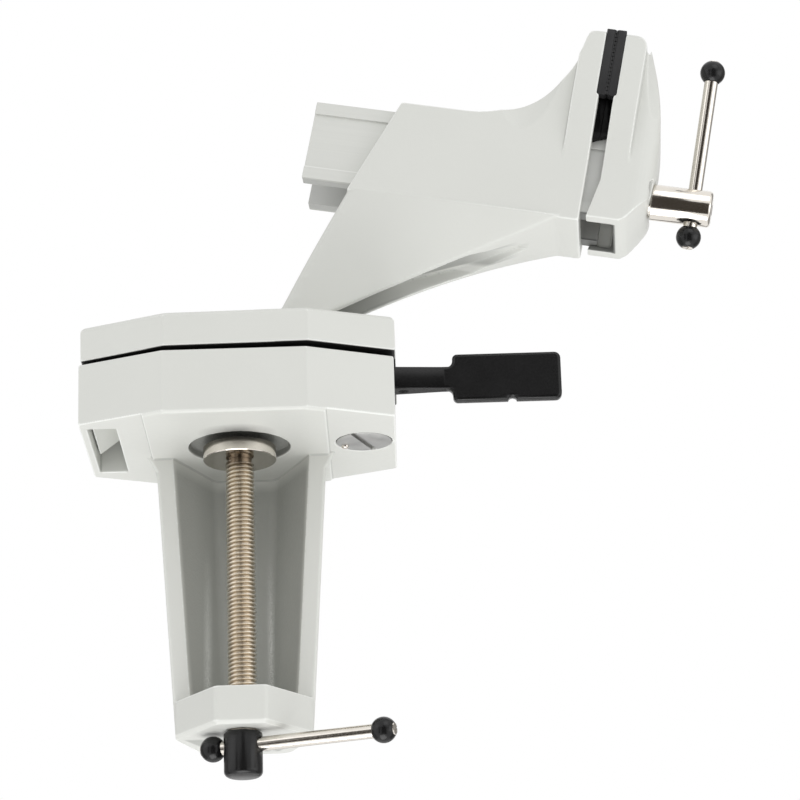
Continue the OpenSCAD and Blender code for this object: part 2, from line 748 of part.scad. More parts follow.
module moving_jaw() {
    round_r = 7;
    scoop_r = 15;
    chin_x = moving_back - 10;
    nose_x = moving_x - jaw_nose;
    edge_x = moving_back - back_r + sqrt(pow(back_r, 2) - pow(jaw_top - spindle_z - back_rise, 2));
    color(paint) on_ball() difference() {
        union() {
            difference() {
                intersection() {
                    side_profile(body_hw)
                        polygon([[nose_x, moving_jaw_z], [chin_x, moving_jaw_z],
                                 [chin_x + 2.4, moving_jaw_z + 1.6], [moving_back - 1.9, moving_jaw_z + 9.6],
                                 [moving_back - 0.4, moving_jaw_z + 12.6], [moving_back, moving_jaw_z + 16],
                                 [moving_back, jaw_top], [moving_x, jaw_top],
                                 [moving_x, moving_jaw_z + jaw_nose_h]]);
                    translate([moving_back - back_r, 0, spindle_z + back_rise]) rotate([90, 0, 0])
                        cylinder(r = back_r, h = 2 * jaw_w, center = true, $fn = 256);
                    hull() for (s = [-1, 1]) {
                        corner_post(moving_back - round_r, s * (body_hw - round_r), moving_jaw_z, round_r);
                        corner_post(moving_back - round_r, s * (body_hw - round_r), jaw_top, round_r);
                        corner_post(nose_x, s * (body_hw - 1), moving_jaw_z, 1);
                        corner_post(nose_x, s * (body_hw - 1), jaw_top, 1);
                    }
                }
                scoops(moving_x + moving_plate_t + scoop_r, scoop_r, 6);
            }
            jaw_plate(moving_x, moving_plate_t, moving_jaw_z, body_hw);
        }
        translate([nose_x - weld, -rail_w / 2 - seat_fit, rail_z - seat_fit])
            cube([rail_seat + jaw_nose + weld + seat_fit, rail_w + 2 * seat_fit, rail_h + 2 * seat_fit]);
        translate([nose_x - weld, -under_pocket_w / 2, moving_jaw_z - weld])
            cube([under_pocket_l + jaw_nose + weld, under_pocket_w, spindle_rise]);
        translate([back_seat, 0, spindle_z]) rotate([0, 90, 0])
            cylinder(d = spindle_head_d + 2 * weld, h = moving_jaw_t);
        top_round(edge_x, 5.2, 1);
        translate([moving_x, 0, spindle_z]) rotate([0, 90, 0])
            cylinder(d = vise_spindle_d + 2 * run_fit, h = 2 * moving_jaw_t);
        translate([moving_x - cover_rabbet, -jaw_w, cover_low])
            cube([2 * cover_rabbet, 2 * jaw_w, jaw_top]);
        rail_screw_places(seat_fit, moving_x);
        rail_screw_heads(free_gap, moving_jaw_t);
    }
}

// Solids along the vise spindle's axis, from a place on it
module on_vise_spindle(x) {
    on_ball() translate([x, 0, spindle_z]) rotate([0, 90, 0]) children();
}

module vise_spindle() {
    rim = 0.8;
    head_from = back_seat + free_gap;
    groove = 1.4;
    color(nickel) difference() {
        union() {
            on_vise_spindle(moving_back - thread_l) cylinder(d = vise_spindle_d, h = thread_l + weld);
            on_vise_spindle(head_from) {
                cylinder(d1 = spindle_head_d - 2 * rim, d2 = spindle_head_d, h = rim);
                translate([0, 0, rim]) cylinder(d = spindle_head_d, h = spindle_head_l - 2 * rim);
                translate([0, 0, spindle_head_l - rim])
                    cylinder(d1 = spindle_head_d, d2 = spindle_head_d - 2 * rim, h = rim);
            }
        }
        on_vise_spindle(rail_right - 2.2) difference() {
            cylinder(d = 2 * vise_spindle_d, h = groove + 2 * seat_fit);
            translate([0, 0, -weld]) cylinder(d = vise_spindle_d - 1.2, h = groove + 2 * weld);
        }
        on_vise_bar() cylinder(d = bar_d + 2 * run_fit, h = 4 * spindle_head_d, center = true);
    }
}

module spindle_ring() {
    groove = 1.4;
    color(steel) on_vise_spindle(rail_right - 2.2 + seat_fit) difference() {
        cylinder(d = ring_d, h = groove);
        translate([0, 0, -weld]) cylinder(d = vise_spindle_d - 1.2 + 2 * seat_fit, h = groove + 2 * weld);
    }
}

// Puts a bar's own axis where it crosses the vise spindle
module on_vise_bar() {
    on_ball() translate([bar_x, 0, spindle_z]) rotate([vise_bar_lean, 0, 0]) children();
}

// Turning bar along its own axis, with thinner ends
module bar(mid) {
    inner = bar_l / 2 - bar_ball_d / 2 + 1.4;
    translate([0, 0, mid]) {
        cylinder(d = bar_d, h = 2 * inner, center = true);
        cylinder(d = bar_tip_d, h = bar_l + 2 * bar_end, center = true);
    }
}

// One ball end, from the bar's middle out, with its flat face and its bore
module bar_ball(mid, side) {
    inner = bar_l / 2 - bar_ball_d / 2 + 1.4;
    translate([0, 0, mid]) mirror([0, 0, side < 0 ? 1 : 0]) difference() {
        intersection() {
            translate([0, 0, bar_l / 2]) sphere(d = bar_ball_d, $fn = 48);
            cylinder(d = 2 * bar_ball_d, h = bar_l / 2 + bar_end);
        }
        cylinder(d = bar_d + 2 * seat_fit, h = inner + seat_fit);
        cylinder(d = bar_tip_d + 2 * seat_fit, h = bar_l);
    }
}

module vise_bar() {
    color(nickel) on_vise_bar() bar(vise_bar_mid);
}

module vise_bar_end_upper() {
    color(black) on_vise_bar() bar_ball(vise_bar_mid, 1);
}

module vise_bar_end_lower() {
    color(black) on_vise_bar() bar_ball(vise_bar_mid, -1);
}

module pressure_pad() {
    rim = 0.5;
    color(nickel) difference() {
        union() {
            translate([0, 0, pad_z]) cylinder(d1 = pad_d - 2 * rim, d2 = pad_d, h = rim);
            translate([0, 0, pad_z + rim]) cylinder(d = pad_d, h = pad_t - rim);
        }
        translate([0, 0, pad_z - weld]) cylinder(d = tip_d + 2 * run_fit, h = pad_t + 2 * weld);
        translate([0, 0, -pad_gap - washer_t - 0.4]) cylinder(d = washer_d + 2 * free_gap, h = pad_t);
    }
}

module pad_washer() {
    color(steel) translate([0, 0, -pad_gap - washer_t - 0.2]) difference() {
        cylinder(d = washer_d, h = washer_t);
        translate([0, 0, -weld]) cylinder(d = tip_d + 2 * seat_fit, h = washer_t + 2 * weld);
    }
}

module clamp_spindle() {
    stub = knob_h - 3.5;
    color(nickel) difference() {
        union() {
            translate([0, 0, knob_z - stub]) cylinder(d = spindle_d, h = pad_z - 0.1 - knob_z + stub);
            translate([0, 0, pad_z - weld]) cylinder(d = tip_d, h = pad_t - 0.2 + weld);
        }
        on_clamp_bar() cylinder(d = bar_d + 2 * run_fit, h = 4 * knob_d, center = true);
    }
}

module clamp_knob() {
    dome = 3.4;
    stub = knob_h - 3.5;
    color(black) difference() {
        translate([0, 0, knob_z - knob_h]) rotate_extrude($fn = 64)
            polygon(concat([[0, 0]],
                [for (k = [0:6]) [knob_d / 2 - dome * 0.8 * (1 - sin(15 * k)), dome * (1 - cos(15 * k))]],
                [[knob_d / 2 - 0.4, knob_h - 0.5], [knob_d / 2 - 0.9, knob_h], [0, knob_h]]));
        translate([0, 0, knob_z - stub - seat_fit]) cylinder(d = spindle_d + 2 * seat_fit, h = knob_h);
        on_clamp_bar() cylinder(d = bar_d + 2 * run_fit, h = 4 * knob_d, center = true);
    }
}

// Puts a bar's own axis where it crosses the clamp spindle
module on_clamp_bar() {
    translate([0, 0, knob_bar_z]) rotate(clamp_bar_turn) rotate([0, 90, 0]) children();
}

module clamp_bar() {
    color(nickel) on_clamp_bar() bar(clamp_bar_mid);
}

module clamp_bar_end_left() {
    color(black) on_clamp_bar() bar_ball(clamp_bar_mid, -1);
}

module clamp_bar_end_right() {
    color(black) on_clamp_bar() bar_ball(clamp_bar_mid, 1);
}

clamp_frame();
clamp_plate();
clamp_screw();
screw_lock_pin();
lever();
lever_pin();
ball();
vise_body();
spindle_nut();
nut_pin();
jaw_cover_fixed();
jaw_cover_moving();
rail();
moving_jaw();
rail_screws();
vise_spindle();
spindle_ring();
vise_bar();
vise_bar_end_upper();
vise_bar_end_lower();
pressure_pad();
pad_washer();
clamp_spindle();
clamp_knob();
clamp_bar();
clamp_bar_end_left();
clamp_bar_end_right();
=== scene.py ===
# %% [markdown]
# # A clamp-on table vise
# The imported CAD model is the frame: it gives every size, every place and every joint. This script
# dresses it. Castings get the soft edges that a die leaves, spindles get their threads, plastic and
# plated pieces are turned or moulded again in mesh code, and each finish gets its own nodes.

# %% The frame
import math

import bmesh
import bpy
from mathutils import Euler, Matrix, Vector


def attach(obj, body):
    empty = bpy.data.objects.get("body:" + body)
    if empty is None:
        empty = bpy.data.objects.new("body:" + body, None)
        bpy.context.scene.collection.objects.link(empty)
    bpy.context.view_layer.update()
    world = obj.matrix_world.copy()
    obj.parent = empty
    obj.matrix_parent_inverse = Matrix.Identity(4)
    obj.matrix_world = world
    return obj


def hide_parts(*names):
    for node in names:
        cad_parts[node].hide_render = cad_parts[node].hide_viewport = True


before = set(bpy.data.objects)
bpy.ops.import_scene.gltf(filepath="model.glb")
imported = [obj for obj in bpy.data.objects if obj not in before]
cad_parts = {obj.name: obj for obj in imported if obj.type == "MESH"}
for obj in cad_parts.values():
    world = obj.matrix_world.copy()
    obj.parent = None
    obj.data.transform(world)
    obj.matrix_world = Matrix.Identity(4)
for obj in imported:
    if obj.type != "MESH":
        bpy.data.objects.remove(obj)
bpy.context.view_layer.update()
MM = 0.001

# %% [markdown]
# ## Where the vise stands
# The vise is set on its ball, turned, tilted and rolled a little. One matrix holds that, so each
# piece of the vise can be drawn square to its own rail and then put where the CAD has it.

# %% The places that pieces are drawn from
HERE = Matrix.Identity(4)
BALL_HEIGHT = 24 * MM
VISE_ROLL, VISE_TILT, VISE_TURN = math.radians(-2), math.radians(11.5), math.radians(-4)
vise_turned = Euler((VISE_ROLL, VISE_TILT, VISE_TURN), "XYZ").to_matrix().to_4x4()
VISE = Matrix.Translation((0, 0, BALL_HEIGHT)) @ vise_turned

SPINDLE_HEIGHT = 90.8 * MM
BAR_OUT = 149.4 * MM
KNOB_BAR_HEIGHT = -107.6 * MM
lay_along_x = Matrix.Rotation(math.radians(90), 4, "Y")
VISE_SPINDLE = VISE @ Matrix.Translation((0, 0, SPINDLE_HEIGHT)) @ lay_along_x
VISE_BAR = (VISE @ Matrix.Translation((BAR_OUT, 0, SPINDLE_HEIGHT))
            @ Matrix.Rotation(math.radians(10.6), 4, "X"))
CLAMP_BAR = (Matrix.Translation((0, 0, KNOB_BAR_HEIGHT))
             @ Matrix.Rotation(math.radians(-19.9), 4, "Z") @ lay_along_x)
print("Vise spindle starts from", [round(value, 4) for value in VISE_SPINDLE.translation])

# %% [markdown]
# ## Finishes
# Five finishes cover the object: light paint on the castings, bright nickel on what turns, plain
# steel on the screws, bare extruded aluminium on the rail, and black moulded plastic. All of them
# read Object coordinates, so their grain stays with the piece when it moves.


# %% Small helpers for node trees
def set_up(thing, **settings):
    """Makes a thing's settings, and gives it back."""
    for name, value in settings.items():
        setattr(thing, name, value)
    return thing


def filled(tree, node, inputs):
    """Fills a node's inputs, each by a constant or by a link, and gives the node back."""
    for socket, value in inputs.items():
        if isinstance(value, bpy.types.NodeSocket):
            tree.links.new(value, node.inputs[socket])
        else:
            node.inputs[socket].default_value = value
    return node


def wired(tree, kind, inputs, **settings):
    """A new node with its settings made and its inputs filled."""
    return filled(tree, set_up(tree.nodes.new(kind), **settings), inputs)


def blank_finish(name):
    """A new material with its tree, its main shader and its object coordinates."""
    material = set_up(bpy.data.materials.new(name), use_nodes=True)
    tree = material.node_tree
    coords = tree.nodes.new("ShaderNodeTexCoord")
    return material, tree, tree.nodes["Principled BSDF"], coords.outputs["Object"]


def grain(tree, vector, scale, detail=3.0, roughness=0.55):
    """Noise of one size, as a factor from 0 to 1."""
    inputs = {"Vector": vector, "Scale": scale, "Detail": detail, "Roughness": roughness}
    return wired(tree, "ShaderNodeTexNoise", inputs).outputs["Fac"]


def stretched(tree, vector, scale, turn=(0, 0, 0), shift=(0, 0, 0)):
    """The coordinates turned and shifted first, then scaled along their own axes."""
    turned = wired(tree, "ShaderNodeMapping", {"Vector": vector, "Location": shift, "Rotation": turn})
    scaled = wired(tree, "ShaderNodeMapping", {"Vector": turned.outputs["Vector"], "Scale": scale})
    return scaled.outputs["Vector"]


def spread(tree, factor, low, high, start=0.3, end=0.7):
    """A factor spread over a range of values."""
    inputs = {"Value": factor, "From Min": start, "From Max": end, "To Min": low, "To Max": high}
    return wired(tree, "ShaderNodeMapRange", inputs).outputs["Result"]


def two_tones(tree, factor, dark, light, start=0.3, end=0.7):
    """A colour that runs from one tone to another with a factor."""
    ramp = wired(tree, "ShaderNodeValToRGB", {"Fac": factor})
    for element, place, tone in zip(ramp.color_ramp.elements, (start, end), (dark, light)):
        element.position = place
        element.color = (*tone, 1)
    return ramp.outputs["Color"]


print("Helpers for patterns ready")


# %% Helpers that add up, mask and blend
def bumps(tree, shader, height, strength, depth):
    """Bump from a height factor, at a real depth in metres."""
    node = wired(tree, "ShaderNodeBump", {"Height": height, "Strength": strength, "Distance": depth})
    tree.links.new(node.outputs["Normal"], shader.inputs["Normal"])


def arithmetic(tree, kind, first, second=0):
    """One sum on two factors, or on a factor and a number."""
    return wired(tree, "ShaderNodeMath", {0: first, 1: second}, operation=kind).outputs["Value"]


def product(tree, result, *factors):
    """Several factors multiplied together."""
    for factor in factors:
        result = arithmetic(tree, "MULTIPLY", result, factor)
    return result


def between(tree, value, low, high, soft):
    """1 where a value lies between two limits, with soft borders."""
    rising = spread(tree, value, 0, 1, start=low, end=low + soft)
    return product(tree, rising, spread(tree, value, 1, 0, start=high - soft, end=high))


def distance_from(tree, where, middle, half):
    """Distance from a middle, as a share of the half widths along X, Y and Z."""
    shift, scale = tuple(-place for place in middle), tuple(1 / width for width in half)
    near = stretched(tree, where, scale, shift=shift)
    return wired(tree, "ShaderNodeVectorMath", {0: near}, operation="LENGTH").outputs["Value"]


def overlaid(tree, colour, tones):
    """A colour with fixed ones laid over it in turn, each as far as its mask says."""
    for mask, tone in tones:
        mix = wired(tree, "ShaderNodeMix", {0: mask, 6: colour, 7: (*tone, 1)}, data_type="RGBA")
        colour = mix.outputs[2]
    return colour


def axes(tree, vector):
    """The X, Y and Z of a vector."""
    return wired(tree, "ShaderNodeSeparateXYZ", {"Vector": vector}).outputs[:]


def vise_axes(tree, where):
    """The vise's own X, Y and Z, along its rail, across it and up."""
    back = VISE.inverted()
    turn, shift = tuple(back.to_euler("XYZ")), tuple(back.translation)
    return axes(tree, stretched(tree, where, (1, 1, 1), turn=turn, shift=shift))


print("Helpers for masks ready")

# %% [markdown]
# ### Paint on the castings
# The paint is baked on over a die casting. It is almost white, half gloss, and has the fine orange
# peel of powder paint. Inside the clamp's channel, where the spray comes in at a slant, the peel is
# coarser, so a mask made from the object's own coordinates makes it stronger there. The same mask
# darkens the channel, for thin paint and painted shade, and lays painted glints along its inside corners.
# A painted highlight brightens outside edges and painted shade darkens inside corners. The castings
# carry a number for that, called rim, which says how sharply their skin bends. Painted shade also
# darkens the recess above the pad, the jaw's pocket and the pocket under the arm, and a painted
# shadow lies on the underside in front of the recess.


# %% Masks for thin paint, painted shade, painted glints, a painted shadow and the dark joint
CHANNEL_FRONT, CHANNEL_DEEP, CHANNEL_DROP = 9.5 * MM, 26 * MM, 89 * MM
CHANNEL_HALF, NARROWS_BACK, NARROWS_DOWN = 28.5 * MM, 12.5 * MM, 5.6 * MM
CHANNEL_BACK, LEANS_DOWN = 39 * MM, 7.5 * MM
RECESS_R, RECESS_TOP = 18.6 * MM, 9 * MM
GAP_LOW, GAP_TOP = 22.2 * MM, 29 * MM
ARM_POCKET_HALF, ARM_POCKET_LOW, ARM_POCKET_TOP = 6.8 * MM, 26 * MM, 66 * MM
JAW_POCKET = ((111.5, 123.8), (-12.7, 12.7), (69.4, 100))


def inside_channel(tree, x, y, z):
    """1 on the inside of the clamp's channel, which narrows to the back and downwards."""
    depth = arithmetic(tree, "DIVIDE", arithmetic(tree, "SUBTRACT", y, CHANNEL_FRONT), CHANNEL_DEEP)
    drop = arithmetic(tree, "DIVIDE", z, -CHANNEL_DROP)
    reach = arithmetic(tree, "SUBTRACT", CHANNEL_HALF, product(tree, depth, NARROWS_BACK))
    reach = arithmetic(tree, "SUBTRACT", reach, product(tree, drop, NARROWS_DOWN))
    room = arithmetic(tree, "SUBTRACT", reach, arithmetic(tree, "ABSOLUTE", x))
    back = arithmetic(tree, "ADD", y, product(tree, drop, LEANS_DOWN))
    return product(tree, spread(tree, room, 0, 1, start=0, end=MM),
                   spread(tree, y, 0, 1, start=9.6 * MM, end=12 * MM),
                   spread(tree, back, 1, 0, start=CHANNEL_BACK, end=CHANNEL_BACK + 2 * MM),
                   spread(tree, z, 1, 0, start=-5 * MM, end=-0.6 * MM))


def inside_recess(tree, where, z):
    """1 inside the round recess above the pressure pad, 0 elsewhere."""
    across = distance_from(tree, where, (0, 0, 0), (RECESS_R, RECESS_R, 1))
    within = spread(tree, across, 1, 0, start=0.965, end=1)
    return product(tree, within, between(tree, z, 0.2 * MM, RECESS_TOP, 0.7 * MM))


def channel_corners(tree, x, z):
    """1 along the two inside corners of the channel, where painted glints lie."""
    off_axis = arithmetic(tree, "ABSOLUTE", arithmetic(tree, "ADD", x, 2.3 * MM))
    line = between(tree, off_axis, 9.4 * MM, 12.6 * MM, 1.4 * MM)
    return product(tree, line, spread(tree, z, 1, 0, start=-62 * MM, end=-28 * MM))


def painted_shadow_spot(tree, where, z):
    """1 on the underside just in front of the recess, fading out all round: where a painted shadow lies."""
    near = distance_from(tree, where, (0, -16.5 * MM, 0), (14 * MM, 10 * MM, 1))
    spot = spread(tree, near, 1, 0, start=0.1, end=1)
    return product(tree, spot, between(tree, z, -2.5 * MM, 2.5 * MM, MM))


def jaw_pocket(tree, where):
    """1 inside the moving jaw's lower pocket, 0 elsewhere."""
    return product(tree, *(between(tree, value, low * MM, high * MM, 0.3 * MM)
                           for value, (low, high) in zip(vise_axes(tree, where), JAW_POCKET)))


def inside_joint(tree, facing_up, z):
    """1 on the two faces that meet in the joint gap, 0 elsewhere."""
    level = spread(tree, arithmetic(tree, "ABSOLUTE", facing_up), 0, 1, start=0.6, end=0.9)
    return product(tree, level, between(tree, z, GAP_LOW, GAP_TOP, 0.5 * MM))


def under_arm(tree, facing_up, where):
    """1 inside the pocket under the vise's arm, 0 elsewhere."""
    across, height = vise_axes(tree, where)[1:]
    return product(tree, between(tree, across, -ARM_POCKET_HALF, ARM_POCKET_HALF, 0.8 * MM),
                   between(tree, height, ARM_POCKET_LOW, ARM_POCKET_TOP, 6 * MM),
                   spread(tree, facing_up, 1, 0, start=0, end=0.25))


print("Masks ready for the channel, the recess, the pockets and the joint")


# %% Paint
def casting_paint():
    material, tree, shader, where = blank_finish("casting_paint")
    x, y, z = axes(tree, where)
    facing_up = axes(tree, where.node.outputs["Normal"])[2]
    channel, recess = inside_channel(tree, x, y, z), inside_recess(tree, where, z)
    rim = wired(tree, "ShaderNodeAttribute", {}, attribute_name="rim").outputs["Fac"]
    sparks = grain(tree, where, 2400, detail=1)
    painted_glints = product(tree, channel, channel_corners(tree, x, z),
                      spread(tree, sparks, 0.2, 1, start=0.46, end=0.54))
    shade = product(tree, recess, between(tree, x, -15 * MM, 15 * MM, 8 * MM),
                    spread(tree, sparks, 0.45, 1, start=0.35, end=0.6))
    cloud = grain(tree, where, 26, detail=2)
    colour = two_tones(tree, cloud, (0.672, 0.679, 0.643), (0.688, 0.695, 0.659))
    colour = overlaid(tree, colour, [
        # painted highlight on outside edges
        (spread(tree, rim, 0, 1, start=0.11, end=0.28), (0.84, 0.85, 0.82)),
        # painted shade in inside corners
        (spread(tree, rim, 0.6, 0, start=-0.24, end=-0.07), (0.42, 0.425, 0.40)),
        # thin paint and painted shade inside the channel
        (channel, (0.43, 0.438, 0.41)),
        # painted glints along the channel's inside corners
        (painted_glints, (0.78, 0.79, 0.76)),
        # painted shade in the recess, with darker speckled painted shade in its middle
        (recess, (0.34, 0.345, 0.325)),
        (shade, (0.085, 0.086, 0.081)),
        # painted shadow on the underside in front of the recess
        (product(tree, painted_shadow_spot(tree, where, z), 0.85), (0.08, 0.08, 0.076)),
        # painted shade in the moving jaw's pocket
        (jaw_pocket(tree, where), (0.185, 0.188, 0.177)),
        # painted shade in the pocket under the arm
        (under_arm(tree, facing_up, where), (0.36, 0.365, 0.345)),
        (inside_joint(tree, facing_up, z), (0.02, 0.02, 0.019)),
    ])
    peel, drops = grain(tree, where, 620, detail=2), grain(tree, where, 900, detail=1)
    filled(tree, shader, {"Base Color": colour, "Roughness": spread(tree, peel, 0.34, 0.46),
                          "Specular IOR Level": 0.45})
    rough_peel = product(tree, drops, arithmetic(tree, "MAXIMUM", channel, recess))
    height = arithmetic(tree, "ADD", product(tree, peel, 0.28), rough_peel)
    bumps(tree, shader, height, 0.35, 0.35 * MM)
    return material


PAINT = casting_paint()
print("Made", PAINT.name)

# %% [markdown]
# ### Nickel, steel and aluminium
# Nickel plate is warm and bright, with faint marks of the lathe under it. The roots of the clamp
# spindle's thread are a darker brown, and a painted shadow browns its top, under the pad. The slotted
# screw is plain turned steel, so its bump is a set of rings round its own axis. The rail is an extrusion:
# its die leaves fine streaks along the whole length, so its noise is stretched along the rail. Painted
# shade darkens its inside and its front end, between and inside the jaws, and a painted highlight runs
# along one line of its side.


# %% Metals
def nickel_plate(name, low, high, roughness, darker_root=None):
    material, tree, shader, where = blank_finish(name)
    colour = two_tones(tree, grain(tree, where, 160, detail=4), low, high)
    if darker_root:
        depth = distance_from(tree, where, (0, 0, 0), (5 * MM, 5 * MM, 1000))
        # painted shadow under the pad darkens the top of the thread
        painted_pad_shadow = spread(tree, axes(tree, where)[2], 0, 0.85, start=-10 * MM, end=-5.5 * MM)
        # the thread's roots are a darker brown
        colour = overlaid(tree, colour, [(spread(tree, depth, 1, 0, start=0.84, end=0.95), darker_root),
                                         (painted_pad_shadow, (0.16, 0.12, 0.085))])
    fine = grain(tree, where, 1400, detail=2)
    filled(tree, shader, {"Base Color": colour, "Metallic": 1, "Roughness": spread(tree, fine, *roughness)})
    bumps(tree, shader, fine, 0.05, 0.05 * MM)
    return material


def turned_steel(name, centre, rings):
    material, tree, shader, where = blank_finish(name)
    centred = stretched(tree, where, (1, 1, 1), shift=tuple(-place for place in centre))
    lathe = wired(tree, "ShaderNodeTexWave", {"Vector": centred, "Scale": rings, "Distortion": 0.6},
                  wave_type="RINGS", rings_direction="Z")
    haze = grain(tree, where, 240, detail=4)
    colour = two_tones(tree, haze, (0.43, 0.43, 0.42), (0.56, 0.56, 0.545))
    filled(tree, shader, {"Base Color": colour, "Metallic": 1, "Roughness": spread(tree, haze, 0.30, 0.46)})
    bumps(tree, shader, lathe.outputs["Fac"], 0.12, 0.08 * MM)
    return material


def drawn_aluminium():
    material, tree, shader, where = blank_finish("drawn_aluminium")
    turn = tuple(VISE.inverted().to_euler("XYZ"))
    streaks = grain(tree, stretched(tree, where, (6, 900, 900), turn=turn), 1.0, detail=3)
    along, across, up = vise_axes(tree, where)
    painted_jaw_shade = spread(tree, along, 0, 1, start=109 * MM, end=111.5 * MM)
    inside = between(tree, across, -13.1 * MM, 13.1 * MM, 0.4 * MM)
    edge = between(tree, up, 80.9 * MM, 81.7 * MM, 0.3 * MM)
    sole = spread(tree, up, 1, 0, start=77 * MM, end=77.6 * MM)
    colour = two_tones(tree, streaks, (0.665, 0.672, 0.638), (0.688, 0.695, 0.66))
    colour = overlaid(tree, colour, [
        # painted highlight along one line of the side
        (edge, (0.82, 0.825, 0.80)),
        # painted shade on the inside
        (inside, (0.58, 0.585, 0.565)),
        # painted shade at the front end, between the jaws
        (painted_jaw_shade, (0.58, 0.585, 0.565)),
        # darker painted shade inside the moving jaw, darkest low down
        (product(tree, painted_jaw_shade, inside), (0.36, 0.365, 0.35)),
        (product(tree, painted_jaw_shade, sole), (0.17, 0.172, 0.165)),
    ])
    filled(tree, shader, {"Base Color": colour, "Metallic": 0.1,
                          "Roughness": spread(tree, streaks, 0.36, 0.5)})
    bumps(tree, shader, streaks, 0.05, 0.04 * MM)
    return material


SCREW_AXIS = (44 * MM, 0, 0)
NICKEL = nickel_plate("nickel_plate", (0.77, 0.725, 0.66), (0.81, 0.77, 0.71), (0.09, 0.16))
THREAD_NICKEL = nickel_plate("thread_nickel", (0.78, 0.71, 0.60), (0.84, 0.78, 0.69), (0.26, 0.36),
                             darker_root=(0.54, 0.455, 0.345))
STEEL = turned_steel("turned_steel", SCREW_AXIS, 900)
ALUMINIUM = drawn_aluminium()
print("Made", NICKEL.name, THREAD_NICKEL.name, STEEL.name, ALUMINIUM.name)

# %% [markdown]
# ### Black plastic
# The lever, the knob and the ball ends are moulded in a tough black plastic with a fine spark-eroded
# grain. The jaw covers are a softer and duller black. Their tongues, down between the jaws, take a
# still darker black as painted shade. Black still needs a little light in it, or every edge is lost.


# %% Plastics
def moulded_black(name, colours, roughness, relief, gloss):
    material, tree, shader, where = blank_finish(name)
    dark, light = ((tone, tone, 1.04 * tone) for tone in colours)
    colour = two_tones(tree, grain(tree, where, 90, detail=3), dark, light)
    skin = grain(tree, where, 1900, detail=2)
    filled(tree, shader, {"Base Color": colour, "Roughness": spread(tree, skin, *roughness),
                          "Specular IOR Level": gloss})
    bumps(tree, shader, skin, relief, 0.12 * MM)
    return material


BLACK = moulded_black("moulded_black", (0.006, 0.009), (0.18, 0.27), 0.05, 0.36)
COVER_BLACK = moulded_black("cover_black", (0.016, 0.024), (0.42, 0.56), 0.2, 0.36)
# a darker copy of the covers' black, as painted shade between the jaws
SHADED_TONGUE_BLACK = moulded_black("shaded_tongue_black", (0.003, 0.005), (0.5, 0.6), 0.2, 0.2)
print("Made", BLACK.name, COVER_BLACK.name, SHADED_TONGUE_BLACK.name)

# %% [markdown]
# ## Castings
# A die casting has no sharp edge anywhere: every outside edge and every inside corner has a small
# radius. Rather than bevel each edge, a copy of the CAD solid is cast again. A voxel remesh gives it
# an even skin, a shrinkwrap lays that skin back on the solid, so that sloping faces show no steps, and a
# few rounds of smoothing pull the edges in. Pieces of the vise are turned square to the grid first.


# %% Trees, objects and meshes
def geometry_tree(name, inputs):
    """A Geometry Nodes tree with its named inputs, and the nodes that begin and end it."""
    tree = bpy.data.node_groups.new(name, "GeometryNodeTree")
    for title, kind in inputs.items():
        tree.interface.new_socket(title, in_out="INPUT", socket_type="NodeSocket" + kind)
    tree.interface.new_socket("Geometry", in_out="OUTPUT", socket_type="NodeSocketGeometry")
    return tree, tree.nodes.new("NodeGroupInput"), tree.nodes.new("NodeGroupOutput")


def put_in_scene(name, data):
    """A new object in the scene, at the origin."""
    thing = bpy.data.objects.new(name, data)
    bpy.context.scene.collection.objects.link(thing)
    return thing


def made_real(thing, *helpers):
    """An object's evaluated shape as a plain mesh. The object and its helpers are removed."""
    graph = bpy.context.evaluated_depsgraph_get()
    mesh = bpy.data.meshes.new_from_object(thing.evaluated_get(graph))
    for spent in (thing, *helpers):
        bpy.data.objects.remove(spent)
    return mesh


def as_mesh(work, name, place=HERE):
    """A finished bmesh as a mesh, put in its place."""
    mesh = bpy.data.meshes.new(name)
    work.to_mesh(mesh)
    work.free()
    mesh.transform(place)
    return mesh


print("Helpers for meshes ready")


# %% Marking the rims
def rim_tree():
    """Stores how sharply the skin bends at each point, as an attribute that the paint reads."""
    tree, given, made = geometry_tree("rim", {"Geometry": "Geometry"})
    bend = tree.nodes.new("GeometryNodeInputMeshEdgeAngle")
    even = wired(tree, "GeometryNodeBlurAttribute", {"Value": bend.outputs["Signed Angle"], "Iterations": 1})
    store = wired(tree, "GeometryNodeStoreNamedAttribute", {"Geometry": given.outputs["Geometry"],
                                                            "Name": "rim", "Value": even.outputs["Value"]})
    tree.links.new(store.outputs["Geometry"], made.inputs["Geometry"])
    return tree


RIM = rim_tree()
print("Made the tree", RIM.name)


# %% Evening out the arm's sides
SIDES_LOW, SIDES_TOP, BLUR_ROUNDS = 32 * MM, 77 * MM, 90


def even_tree():
    """Blurs the flat facets of the arm's sides into one face, and holds every sharper edge."""
    tree, given, made = geometry_tree("even", {"Geometry": "Geometry"})
    bend = tree.nodes.new("GeometryNodeInputMeshEdgeAngle").outputs["Unsigned Angle"]
    where = tree.nodes.new("GeometryNodeInputPosition").outputs["Position"]
    facing = tree.nodes.new("GeometryNodeInputNormal").outputs["Normal"]
    sideways = arithmetic(tree, "ABSOLUTE", axes(tree, facing)[1])
    free = product(tree, spread(tree, bend, 1, 0, start=0.08, end=0.2),
                   spread(tree, sideways, 0, 1, start=0.5, end=0.7),
                   between(tree, axes(tree, where)[2], SIDES_LOW, SIDES_TOP, 4 * MM))
    even = wired(tree, "GeometryNodeBlurAttribute",
                 {"Value": where, "Weight": free, "Iterations": BLUR_ROUNDS}, data_type="FLOAT_VECTOR")
    move = wired(tree, "GeometryNodeSetPosition",
                 {"Geometry": given.outputs["Geometry"], "Position": even.outputs["Value"]})
    tree.links.new(move.outputs["Geometry"], made.inputs["Geometry"])
    return tree


EVEN = even_tree()
print("Made the tree", EVEN.name)


